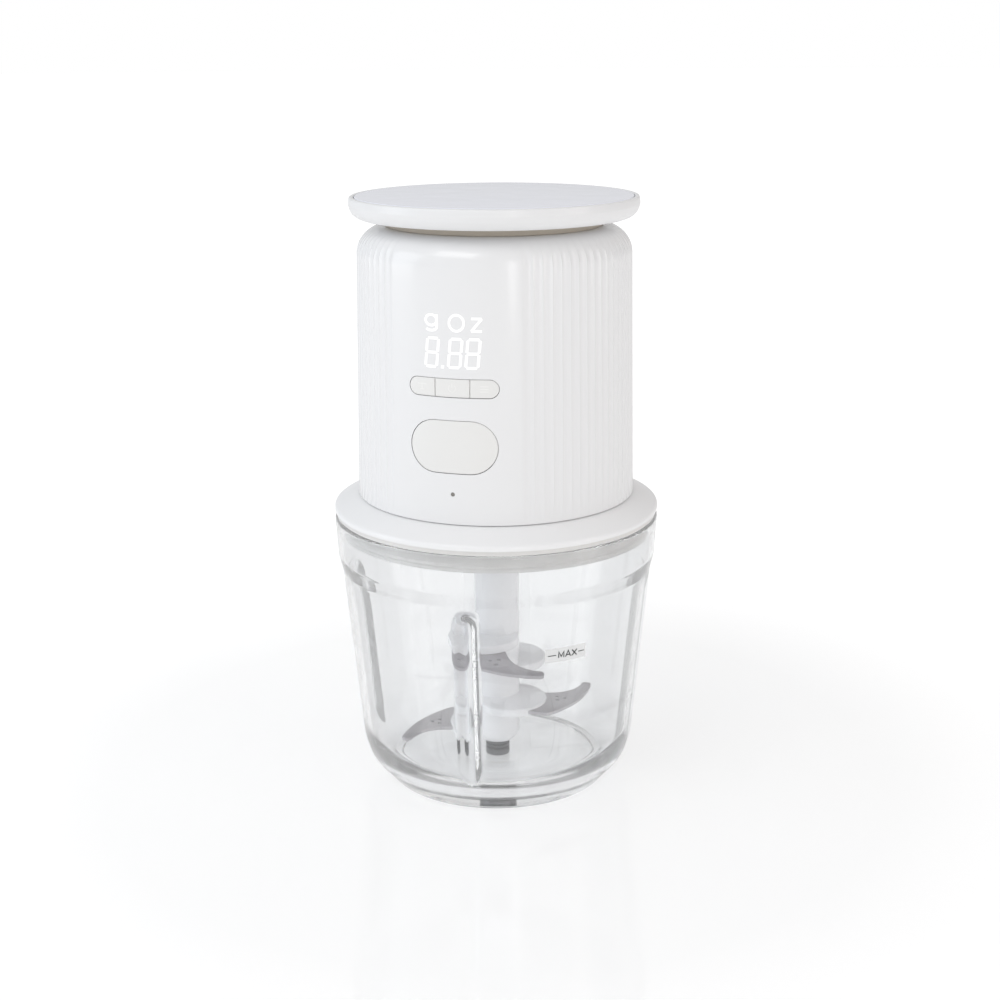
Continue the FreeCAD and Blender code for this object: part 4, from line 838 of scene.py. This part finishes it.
class CHOPPER_OT_blades(bpy.types.Operator):
    """Build the spindle with its four blades"""

    bl_idname = "chopper.blades"
    bl_label = "Blade set"

    def execute(self, context):
        colours, kit = context.scene.chopper_colours, context.scene.chopper_blades
        steel = metal("Ground steel", colours.steel, 0.34, (1, 14, 1), 500)
        column = self.column(kit)
        bm = bmesh.new()
        bm.from_mesh(column.data)
        bpy.data.objects.remove(column)
        for index in range(4):
            pair, side = divmod(index, 2)
            turn = kit.turn + pair * kit.crossing + (math.pi if side == pair else 0.0)
            node = f"blade_{index + 1}"
            blade, middle = make_blade(node, turn, kit.droop if pair else 0.0)
            seat(blade, "blade_unit", "blade_steel", steel, node)
            away = turn + kit.boss_turn
            half, count = kit.boss_thickness / 2, len(bm.verts)
            lathe_into(bm, rounded([(0, middle - half), (kit.boss, middle - half, 0.7 * MM),
                                    (kit.boss, middle + half, 0.7 * MM), (0, middle + half)]), round_angles(96))
            bm.verts.ensure_lookup_table()
            bmesh.ops.translate(bm, vec=spoke(away).to_3d() * kit.boss_offset, verts=bm.verts[count:])
        # The spindle's colour is painted lighter than the housing white to offset the lid's shadow over it.
        seat(to_object("blade_spindle", bm), "blade_unit", "white_spindle",
             moulded("Spindle white", colours.spindle, 0.2, 0.3), "spindle")
        return {"FINISHED"}

    def column(self, kit):
        """Spindle with the six-sided socket in its top."""
        foot, top = low("spindle").z, high("spindle").z
        column = lathe("spindle_column", [
            (0, foot), (kit.foot_radius, foot, 0.8 * MM), (kit.radius, foot + 2.4 * MM, 3 * MM),
            (kit.radius, top, 0.8 * MM), (0, top)], 128, ring=False)
        bm = bmesh.new()
        bmesh.ops.create_cone(bm, cap_ends=True, segments=6, radius1=kit.socket, radius2=kit.socket,
                              depth=2 * kit.socket_depth, matrix=Matrix.Translation((0, 0, top)))
        return carve(column, to_object("hexagon", bm))


# ---------------------------------------------------------------- lid and seal

class CHOPPER_OT_lid(bpy.types.Operator):
    """Build the lid and its seal"""

    bl_idname = "chopper.lid"
    bl_label = "Lid and seal"

    def execute(self, context):
        colours, kit = context.scene.chopper_colours, context.scene.chopper_housing
        face = high("lid_seal").z
        end, top, radius = low("lid").z, high("lid").z, high("lid").x
        well = top - kit.well_depth
        under = well - kit.well_floor
        hub_end = well - kit.hub_drop
        inner = kit.lid_skirt_radius - kit.lid_skirt_wall
        lid = lathe("lid_shell", [
            (kit.hub_radius, hub_end, 0.3 * MM), (kit.hub_radius + kit.hub_wall, hub_end, 0.5 * MM),
            (kit.hub_radius + kit.hub_wall, under, 1.5 * MM), (inner, under, 1.5 * MM), (inner, end, 0.5 * MM),
            (kit.lid_skirt_radius, end, 0.5 * MM), (kit.lid_skirt_radius, face), (radius, face, 0.4 * MM),
            (radius, face + kit.lid_edge, 1.4 * MM), (kit.lid_crown_radius, top, 8 * MM),
            (kit.well_radius, top, 0.3 * MM), (kit.well_radius, well, 0.6 * MM),
            (kit.hub_radius, well, 0.3 * MM)], 320)
        # Painted light: the lid takes the housing white made 5% lighter, so that it reads brighter than the
        # lamps alone make it.
        white = moulded("Lid white", shaded(colours.white, 1.05), 0.3, 0.12)
        seat(lid, "lid", "white_body", white, "lid")
        lip, back = kit.seal_lip, kit.lid_skirt_radius
        body = lip - 0.5 * MM
        foot, rim, edge = low("lid_seal").z, high("bowl").z + 0.2 * MM, high("lid_seal").x
        seal = lathe("silicone_seal", [
            (back, foot), (body, foot, 0.4 * MM), (body, foot + 1.2 * MM), (lip, foot + 2.0 * MM, 0.2 * MM),
            (body, foot + 2.8 * MM), (body, rim, 0.4 * MM), (edge, rim, 0.3 * MM), (edge, face, 0.2 * MM),
            (back, face)], 256)
        seat(seal, "lid", "seal_silicone", rubber("Seal silicone", colours.seal), "lid_seal")
        return {"FINISHED"}


# ---------------------------------------------------------------- motor unit

def make_housing(kit, panel):
    """Housing with a smooth front, hollow flutes all round the rest, and its windows."""
    foot, top, widest = high("lid").z + kit.seam, high("housing_shell").z, housing_radius()
    shoulder_radius = wall_at(top)
    outside = finer(rounded([
        (kit.neck, top - kit.wall), (kit.neck, top, 0.3 * MM), (shoulder_radius, top, kit.shoulder),
        (widest, foot, 0.15 * MM), (widest - kit.wall, foot)], math.radians(4)), 4 * MM)
    inside = rounded([
        (widest - kit.wall, foot), (shoulder_radius - kit.wall, top - kit.wall, kit.shoulder - kit.wall),
        (kit.neck, top - kit.wall)])[1:-1]
    pitch = (2 * math.pi - 2 * kit.panel_half) / kit.flutes
    plain_share, fade_share = 0.12, 0.5
    fluted = {i for i, p in enumerate(outside) if p.y > foot + 0.6 * MM and p.x > kit.neck + MM}

    def shape(turn, index, point):
        share = ((turn - kit.panel_half) % (2 * math.pi)) / pitch
        if index not in fluted or share >= kit.flutes:
            return point.x
        part = share % 1.0
        fade = min(1.0, max(0.0, (top - point.y) / kit.shoulder - plain_share) / fade_share)
        return point.x - kit.flute_depth * 4 * part * (1 - part) * fade

    front, cuts = 60, 8
    angles = [kit.panel_half + pitch * (k + part / cuts) for k in range(kit.flutes) for part in range(cuts)]
    angles += [2 * math.pi - kit.panel_half + 2 * kit.panel_half * k / front for k in range(front)]
    bm = bmesh.new()
    lathe_into(bm, outside + inside, angles, shape, ring=True)
    shell = to_object("housing", bm, 30)
    near, far, rim = -widest - 2 * MM, -widest + kit.window_depth, kit.gap
    flap_low, flap_high = corners("port_cover")
    port_low, port_high = corners("charging_port")
    windows = (("button_window", "chop_button", panel.button_width + 2 * rim, panel.button_tall + 2 * rim, 24),
               ("key_window", "key_middle", panel.strip_width + 2 * rim, panel.strip_tall + 2 * rim, 24),
               ("light_hole", "status_light", kit.light_hole, kit.light_hole - 0.001 * MM, 10))
    cutters = [slab(name, stadium(wide, tall, steps), near, far, (0.0, middle_of(node).z))
               for name, node, wide, tall, steps in windows]
    cutters += [
        box_between("flap_recess", (flap_low.x - rim, flap_low.y - 0.2 * MM, flap_low.z - rim),
                    (flap_high.x + rim, widest + 2 * MM, flap_high.z + rim)),
        box_between("port_mouth", (port_low.x - rim, port_low.y + 2 * MM, port_low.z - rim),
                    (port_high.x + rim, widest, port_high.z + 0.5 * MM))]
    return carve(shell, *cutters, sharp=30)


def middle_of(node):
    """Middle of a CAD node's box."""
    return (low(node) + high(node)) / 2


class CHOPPER_OT_housing(bpy.types.Operator):
    """Build the fluted housing of the motor unit"""

    bl_idname = "chopper.housing"
    bl_label = "Housing"

    def execute(self, context):
        scene = context.scene
        white = moulded("Housing white", scene.chopper_colours.white, 0.22, 0.35)
        seat(make_housing(scene.chopper_housing, scene.chopper_panel), "motor_unit", "white_body", white,
             "housing_shell")
        return {"FINISHED"}


class CHOPPER_OT_keys(bpy.types.Operator):
    """Build the chop button and the three keys with their faint symbols"""

    bl_idname = "chopper.keys"
    bl_label = "Keys"

    def execute(self, context):
        colours, panel = context.scene.chopper_colours, context.scene.chopper_panel
        kit = context.scene.chopper_housing
        finish = moulded("Key white", colours.keys, 0.36)
        faint = moulded("Key symbol", shaded(colours.keys, 1.07), 0.45)
        centre, height = middle_of("chop_button").z, middle_of("key_middle").z
        button = key_cap("chop_cap", stadium(panel.button_width, panel.button_tall), centre,
                         panel.key_thickness, panel.rounding, dish=panel.dish)
        seat(button, "chop_key", "white_keys", finish, "chop_button")
        half, end, tall = panel.middle_width / 2, panel.strip_width / 2, panel.strip_tall / 2
        inner = half + kit.gap
        round_end = [p for p in stadium(panel.strip_width, panel.strip_tall) if p.x > inner]
        right = [Vector((inner, -tall))] + round_end + [Vector((inner, tall))]
        left = [Vector((-p.x, p.y)) for p in reversed(right)]
        middle = [Vector((x, z)) for x, z in ((-half, -tall), (half, -tall), (half, tall), (-half, tall))]
        for side, points in (("left", left), ("middle", middle), ("right", right)):
            cap = key_cap(f"{side}_cap", points, height, panel.key_thickness, panel.key_rounding)
            seat(cap, f"{side}_key", "white_keys", finish, f"key_{side}")
        away = (inner + end) / 2
        for name, body, draw, x, z, sink in (
                ("power_mark", "middle_key", self.power_mark, 0.0, height, 0.0),
                ("tare_mark", "left_key", self.tare_mark, -away, height, 0.0),
                ("mode_mark", "right_key", self.mode_mark, away, height, 0.0),
                ("blade_mark", "chop_key", self.blade_mark, 0.0, centre, 0.3 * MM)):
            bm = bmesh.new()
            draw(bm)
            bmesh.ops.translate(bm, vec=(x, 0, z), verts=bm.verts)
            slice_up(bm, STRIP, end)
            follow_wall(bm, 0.02 * MM - sink)
            seat(to_object(name, bm), body, "white_keys", faint)
        return {"FINISHED"}

    def bar(self, bm, first, last, width):
        """A thin flat bar between two points."""
        along = (last - first).normalized()
        side = Vector((-along.y, along.x)) * width / 2
        slab_into(bm, [first - side, last - side, last + side, first + side], -0.01 * MM, 0.05 * MM)

    def arc(self, bm, radius, width, start, turn, steps=28, centre=Vector((0, 0))):
        """A thin flat arc, in short bars."""
        spots = [centre + radius * spoke(start + turn * k / steps) for k in range(steps + 1)]
        for first, last in zip(spots, spots[1:]):
            self.bar(bm, first, last, width)

    def bars(self, bm, ends, width=0.3 * MM):
        """Bars between pairs of points given in millimetres."""
        for x, z, other_x, other_z in ends:
            self.bar(bm, Vector((x, z)) * MM, Vector((other_x, other_z)) * MM, width)

    def power_mark(self, bm):
        """Open ring with an upright bar."""
        self.arc(bm, 1.25 * MM, 0.28 * MM, math.radians(125), math.radians(290))
        self.bars(bm, [(0, 0.3, 0, 1.7)], 0.28 * MM)

    def tare_mark(self, bm):
        """Small pan on its foot."""
        self.bars(bm, [(-1.6, 0.9, 1.6, 0.9), (0, -0.9, 0, 0.9), (-0.8, -1.0, 0.8, -1.0)])

    def mode_mark(self, bm):
        """Three short rows."""
        self.bars(bm, [(-1.4, z, 1.4, z) for z in (-0.9, 0.0, 0.9)])

    def blade_mark(self, bm):
        """Ring with three curved vanes."""
        self.arc(bm, 2.9 * MM, 0.25 * MM, 0.0, 2 * math.pi, 48)
        for k in range(3):
            lean = 2 * math.pi * k / 3
            self.arc(bm, 1.3 * MM, 0.3 * MM, lean, math.pi * 0.9, 14,
                     1.1 * MM * spoke(lean + 1.2))


DIGIT_LEFTS = (-10.1, -1.8, 4.3)  # left edges of the digits, in millimetres from the middle


class CHOPPER_OT_display(bpy.types.Operator):
    """Build the lit digits, unit letters and status light"""

    bl_idname = "chopper.display"
    bl_label = "Display"

    def execute(self, context):
        panel = context.scene.chopper_panel
        glow = lit("Display glow", (1.0, 1.0, 1.0), 1.0)
        bm = bmesh.new()
        for left in DIGIT_LEFTS:
            self.digit(bm, panel, left * MM)
        dot = [Vector((x, z)) * MM for x, z in ((-3.9, 0), (-2.8, 0), (-2.7, 1.1), (-3.8, 1.1))]
        slab_into(bm, dot, 0.0, 0.05 * MM)
        bmesh.ops.translate(bm, vec=(0, 0, panel.digit_low), verts=bm.verts)
        self.place("display_digits", bm, glow)
        units = bmesh.new()
        self.unit_letters(units, panel.unit_stroke)
        bmesh.ops.translate(units, vec=(0, 0, panel.unit_low), verts=units.verts)
        self.place("display_units", units, glow)
        lens = frame["nodes"]["status_light"]
        dress(lens, moulded("Light pipe", (0.22, 0.21, 0.19), 0.2, 0.3))
        return {"FINISHED"}

    def unit_letters(self, bm, stroke):
        """The letters for grams and ounces."""
        film, full = 0.05 * MM, 2 * math.pi
        grams, ounces = Vector((-7.3, 3.9)) * MM, Vector((1.7, 3.2)) * MM
        bowl, stem, hook = 4.1 * MM, 2.05 * MM, 0.3 * MM
        ribbon_into(bm, oval(grams, bowl, 3.6 * MM, 0, full, 32)[:-1], stroke, film, True)
        tail = oval((grams.x, hook + 1.3 * MM), bowl, 2.4 * MM, 0, -math.radians(150), 14)
        ribbon_into(bm, [grams + Vector((stem, 1.9 * MM))] + tail, stroke, film)
        ribbon_into(bm, oval(ounces, 5.1 * MM, 5.4 * MM, 0, full, 40)[:-1], stroke, film, True)
        left, right, low_end, high_end = (value * MM for value in (6.8, 10.3, 0.6, 4.8))
        zigzag = [Vector((x, z)) for z in (high_end, low_end) for x in (left, right)]
        for first, last in zip(zigzag, zigzag[1:]):
            ribbon_into(bm, [first, last], stroke, film)

    def place(self, name, bm, finish):
        """Lays flat marks on the housing."""
        slice_up(bm, STRIP, 12 * MM)
        follow_wall(bm, 0.03 * MM)
        seat(to_object(name, bm), "motor_unit", "white_body", finish)

    def digit(self, bm, panel, left):
        """All seven segments of one leaning digit."""
        wide, tall, thick = panel.digit_width, panel.digit_tall, panel.segment
        near, far = thick / 2, wide - thick / 2
        rows = (thick / 2, tall / 2, tall - thick / 2)
        runs = [(Vector((near, z)), Vector((far, z))) for z in rows]
        runs += [(Vector((x, rows[k])), Vector((x, rows[k + 1]))) for x in (near, far) for k in (0, 1)]
        for first, last in runs:
            along = (last - first).normalized()
            side = Vector((-along.y, along.x)) * thick / 2
            tip = along * thick / 2
            gap = along * 0.16 * MM
            outline = [first + gap, first + tip - side, last - tip - side, last - gap, last - tip + side,
                       first + tip + side]
            leaned = [Vector((left + p.x + p.y * math.tan(panel.slant), p.y)) for p in outline]
            slab_into(bm, leaned, 0.0, 0.05 * MM)


class CHOPPER_OT_port(bpy.types.Operator):
    """Build the soft flap over the charging port at the back"""

    bl_idname = "chopper.port"
    bl_label = "Charging port"

    def execute(self, context):
        kit = context.scene.chopper_housing
        first, last = corners("port_cover")
        wide, tall = last.x - first.x, last.z - first.z
        bm = bmesh.new()
        points = rounded([(x * wide / 2, z * tall / 2, kit.flap_corner)
                          for x, z in ((-1, -1), (1, -1), (1, 1), (-1, 1))])
        rim = slab_into(bm, points, 0.0, last.y - first.y - 0.3 * MM, (0.0, (first.z + last.z) / 2))
        bmesh.ops.bevel(bm, geom=rim, offset=0.3 * MM, segments=3, profile=0.5, affect="EDGES")
        slice_up(bm, STRIP, wide / 2)
        follow_wall(bm, -kit.flap_sink)
        bmesh.ops.rotate(bm, matrix=Matrix.Rotation(math.pi, 3, "Z"), verts=bm.verts)
        finish = rubber("Flap rubber", context.scene.chopper_colours.keys, 0.5)
        seat(to_object("port_flap", bm), "flap", "soft_flap", finish, "port_cover")
        return {"FINISHED"}


# ---------------------------------------------------------------- weighing platform

class CHOPPER_OT_platform(bpy.types.Operator):
    """Build the tray, the weighing plate and the ring under them"""

    bl_idname = "chopper.platform"
    bl_label = "Weighing platform"

    def execute(self, context):
        colours, kit = context.scene.chopper_colours, context.scene.chopper_housing
        radius, foot, top = high("scale_tray").x, low("scale_tray").z, high("scale_tray").z
        rim = radius - kit.tray_wall
        inner = rim - kit.tray_shelf
        shelf, floor = top - kit.plate_thickness, foot + kit.tray_floor
        tray = lathe("tray", [
            (0, foot), (radius - 1.2 * MM, foot, 4.6 * MM), (radius, top - 2.6 * MM, 1.2 * MM),
            (radius - 0.3 * MM, top, 0.7 * MM), (rim, top, 0.3 * MM), (rim, shelf), (inner, shelf),
            (inner, floor, 1 * MM), (kit.tray_boss, floor, 1 * MM), (kit.tray_boss, shelf),
            (0, shelf)], 320, ring=False)
        seat(tray, "platform", "white_body", moulded("Tray white", shaded(colours.white, 0.99), 0.32, 0.1),
             "scale_tray")
        plate_top, plate_radius = high("scale_plate").z, high("scale_plate").x
        plate = lathe("plate", [
            (0, shelf), (plate_radius, shelf, 0.2 * MM), (plate_radius, plate_top, 0.4 * MM),
            (0, plate_top)], 320, ring=False)
        seat(plate, "platform", "lilac_plate", moulded("Plate lavender", colours.plate, 0.2, 0.2),
             "scale_plate")
        ring_low, ring_high, ring = low("neck_gasket").z, high("neck_gasket").z, high("neck_gasket").x
        inside = ring - kit.gasket_width
        gasket = lathe("gasket_ring", [
            (inside, ring_low), (ring, ring_low, 0.3 * MM), (ring, ring_high, 0.6 * MM),
            (inside, ring_high, 0.6 * MM)], 192)
        seat(gasket, "motor_unit", "gasket_rubber", rubber("Gasket rubber", colours.gasket), "neck_gasket")
        return {"FINISHED"}


# ---------------------------------------------------------------- pieces kept as they are

class CHOPPER_OT_works(bpy.types.Operator):
    """Finish the drive, battery, boards and frame inside"""

    bl_idname = "chopper.works"
    bl_label = "Inner works"

    def execute(self, context):
        colours = context.scene.chopper_colours
        finishes = {
            "white_body": moulded("Underside white", colours.white, 0.4),
            # The coupling shares the spindle's colour, painted lighter than the housing white.
            "white_spindle": moulded("Coupling white", colours.spindle, 0.35),
            "gear_plastic": moulded("Gear acetal", (0.66, 0.62, 0.50), 0.4),
            "frame_plastic": moulded("Frame plastic", (0.50, 0.51, 0.53), 0.5),
            "motor_steel": metal("Plated steel", (0.48, 0.49, 0.50), 0.32),
            "magnet_ferrite": moulded("Ferrite", (0.05, 0.05, 0.055), 0.7, depth=0.03),
            "copper_core": metal("Enamelled copper", (0.55, 0.24, 0.12), 0.3, (1, 1, 6)),
            "bush_bronze": metal("Sintered bronze", (0.45, 0.31, 0.14), 0.5, scale=3000),
            "battery_wrap": moulded("Battery wrap", (0.06, 0.18, 0.30), 0.25, 0.3),
            "board_green": board("Circuit board", (0.02, 0.12, 0.05)),
            "display_dark": moulded("Dark resin", (0.03, 0.03, 0.035), 0.3),
            "alloy": metal("Milled alloy", (0.62, 0.63, 0.65), 0.35, (8, 1, 1)),
            "screw_steel": metal("Screw steel", (0.40, 0.40, 0.42), 0.3),
            "clear_bowl": moulded("Lens resin", (0.5, 0.5, 0.5), 0.2)}
        for part in frame["record"]["subparts"]:
            finish = finishes.get(part["material_slot"])
            if finish and part["node"] != "status_light":
                dress(frame["nodes"][part["node"]], finish)
        return {"FINISHED"}


# ---------------------------------------------------------------- stage

# name, its setting, tint, place, width and height, in metres
LAMPS = (("Overhead", "key", (1.0, 1.0, 1.0), (-0.45, -1.0, 1.5), 0.9, 0.6),
         ("Left", "left", (0.92, 0.96, 1.0), (-1.5, -0.7, 0.6), 0.8, 1.4),
         ("Right", "right", (1.0, 0.95, 0.92), (1.7, -0.2, 0.6), 0.5, 1.4),
         ("Strip", "strip", (1.0, 1.0, 1.0), (0.75, -1.25, 0.35), 0.16, 1.2))
# shades of the surroundings from left to right: place and colour
SURROUNDINGS = ((0.0, (0.30, 0.34, 0.42)), (0.035, (0.42, 0.47, 0.56)), (0.10, (1.04, 1.07, 1.10)),
                (0.5, (1.0, 1.0, 1.0)), (0.90, (0.90, 0.87, 0.855)), (0.965, (0.40, 0.40, 0.43)),
                (1.0, (0.34, 0.33, 0.36)))


class CHOPPER_OT_stage(bpy.types.Operator):
    """Set the floor, the lamps, the surroundings and the camera"""

    bl_idname = "chopper.stage"
    bl_label = "Stage"

    def execute(self, context):
        scene, kit = context.scene, context.scene.chopper_stage
        scene.view_settings.view_transform = "Standard"
        self.floor(kit)
        self.surroundings(scene, kit)
        middle = Vector((0, 0, CAD_BOX[1][2] / 2))
        for name, watts, tint, place, wide, tall in LAMPS:
            self.lamp(name, getattr(kit, watts), tint, place, middle, wide, tall)
        self.camera(scene, kit)
        return {"FINISHED"}

    def floor(self, kit):
        """Wide pale floor with a faint shine round the object."""
        bm = bmesh.new()
        bmesh.ops.create_circle(bm, cap_ends=True, segments=96, radius=14.0)
        floor = to_object("stage_floor", bm)
        material, tree, main = shader("Floor white")
        link = tree.links.new
        link(between(tree, grain(tree, 2), (0.50, 0.50, 0.50), (0.52, 0.52, 0.52)), main.inputs["Base Color"])
        main.inputs["Roughness"].default_value = 0.05
        main.inputs["IOR"].default_value = 1.6
        place = tree.nodes.new("ShaderNodeTexCoord")
        reach = tree.nodes.new("ShaderNodeVectorMath")
        reach.operation = "LENGTH"
        spread = tree.nodes.new("ShaderNodeMapRange")
        spread.inputs["From Min"].default_value = kit.shine_near
        spread.inputs["From Max"].default_value = kit.shine_far
        link(place.outputs["Object"], reach.inputs[0])
        link(reach.outputs["Value"], spread.inputs["Value"])
        link(between(tree, spread.outputs["Result"], 0.5, 0.0), main.inputs["Specular IOR Level"])
        seen = tree.nodes.new("ShaderNodeMath")
        seen.operation = "MULTIPLY"
        link(spread.outputs["Result"], seen.inputs[0])
        link(tree.nodes.new("ShaderNodeLightPath").outputs["Is Camera Ray"], seen.inputs[1])
        link(between(tree, seen.outputs["Value"], kit.glow, kit.far_glow), main.inputs["Emission Strength"])
        main.inputs["Emission Color"].default_value = (1, 1, 1, 1)
        dress(floor, material)

    def surroundings(self, scene, kit):
        """Pale surroundings: cooler on the left, warmer on the right, with a darker edge at each side."""
        world = bpy.data.worlds.new("Studio")
        scene.world = world
        world.use_nodes = True
        tree = world.node_tree
        link = tree.links.new
        back = tree.nodes["Background"]
        back.inputs["Strength"].default_value = kit.sky
        place = tree.nodes.new("ShaderNodeTexCoord")
        side = tree.nodes.new("ShaderNodeVectorMath")
        side.operation = "DOT_PRODUCT"
        side.inputs[1].default_value = (math.cos(kit.azimuth), math.sin(kit.azimuth), 0)
        link(place.outputs["Generated"], side.inputs[0])
        ramp = tree.nodes.new("ShaderNodeValToRGB")
        shades = ramp.color_ramp.elements
        shades[0].color, shades[1].color = ((*tint, 1) for _, tint in (SURROUNDINGS[0], SURROUNDINGS[-1]))
        for spot, tint in SURROUNDINGS[1:-1]:
            shades.new(spot).color = (*tint, 1)
        spread = tree.nodes.new("ShaderNodeMapRange")
        spread.inputs["From Min"].default_value = -1.0
        link(side.outputs["Value"], spread.inputs["Value"])
        link(spread.outputs["Result"], ramp.inputs["Fac"])
        link(ramp.outputs["Color"], back.inputs["Color"])
        white = tree.nodes.new("ShaderNodeBackground")
        white.inputs["Color"].default_value = (1, 1, 1, 1)
        path = tree.nodes.new("ShaderNodeLightPath")
        mix = tree.nodes.new("ShaderNodeMixShader")
        link(path.outputs["Is Camera Ray"], mix.inputs["Fac"])
        link(back.outputs["Background"], mix.inputs[1])
        link(white.outputs["Background"], mix.inputs[2])
        link(mix.outputs["Shader"], tree.nodes["World Output"].inputs["Surface"])

    def lamp(self, name, watts, tint, place, target, width, tall):
        """A soft rectangular lamp that looks at a point."""
        light = bpy.data.lights.new(name, "AREA")
        light.shape = "RECTANGLE"
        light.size, light.size_y = width, tall
        light.energy = watts
        light.color = tint
        lamp = bpy.data.objects.new(name, light)
        lamp.location = place
        lamp.rotation_euler = (target - Vector(place)).to_track_quat("-Z", "Y").to_euler()
        bpy.context.scene.collection.objects.link(lamp)

    def camera(self, scene, kit):
        """Camera at the chosen side, height and lean."""
        data = bpy.data.cameras.new("Camera")
        data.lens = kit.lens
        data.sensor_width = 36.0
        camera = bpy.data.objects.new("Camera", data)
        place = Vector((math.sin(kit.azimuth), -math.cos(kit.azimuth), 0)) * kit.distance
        place.z = kit.height
        aim = Matrix.Rotation(kit.azimuth - kit.yaw, 4, "Z")
        tilt = Matrix.Rotation(math.pi / 2 - kit.pitch, 4, "X") @ Matrix.Rotation(kit.roll, 4, "Z")
        camera.matrix_world = Matrix.Translation(place) @ aim @ tilt
        scene.collection.objects.link(camera)
        scene.camera = camera


# ---------------------------------------------------------------- panel and registration

GROUPS = {"chopper_colours": ChopperColours, "chopper_bowl": ChopperBowl, "chopper_blades": ChopperBlades,
          "chopper_housing": ChopperHousing, "chopper_panel": ChopperPanel, "chopper_stage": ChopperStage}
OPERATORS = (CHOPPER_OT_stage, CHOPPER_OT_bowl, CHOPPER_OT_blades, CHOPPER_OT_lid, CHOPPER_OT_housing,
             CHOPPER_OT_keys, CHOPPER_OT_display, CHOPPER_OT_port, CHOPPER_OT_platform, CHOPPER_OT_works)


class CHOPPER_PT_panel(bpy.types.Panel):
    """Lists the pieces in the order in which they are built"""

    bl_idname = "CHOPPER_PT_panel"
    bl_label = "Food chopper"
    bl_space_type = "VIEW_3D"
    bl_region_type = "UI"
    bl_category = "Chopper"

    def draw(self, context):
        layout = self.layout
        for operator in OPERATORS:
            layout.operator(operator.bl_idname)
        for name in GROUPS:
            settings = getattr(context.scene, name)
            box = layout.box()
            for prop in settings.bl_rna.properties:
                if prop.identifier not in {"rna_type", "name"}:
                    box.prop(settings, prop.identifier)


def register():
    for name, group in GROUPS.items():
        bpy.utils.register_class(group)
        setattr(bpy.types.Scene, name, PointerProperty(type=group))
    for item in (*OPERATORS, CHOPPER_PT_panel):
        bpy.utils.register_class(item)


def unregister():
    for item in reversed((*OPERATORS, CHOPPER_PT_panel)):
        bpy.utils.unregister_class(item)
    for name, group in reversed(GROUPS.items()):
        delattr(bpy.types.Scene, name)
        bpy.utils.unregister_class(group)


def main():
    register()
    for operator in OPERATORS:
        getattr(bpy.ops.chopper, operator.bl_idname.split(".")[1])()
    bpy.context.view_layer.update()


if __name__ == "__main__":
    main()
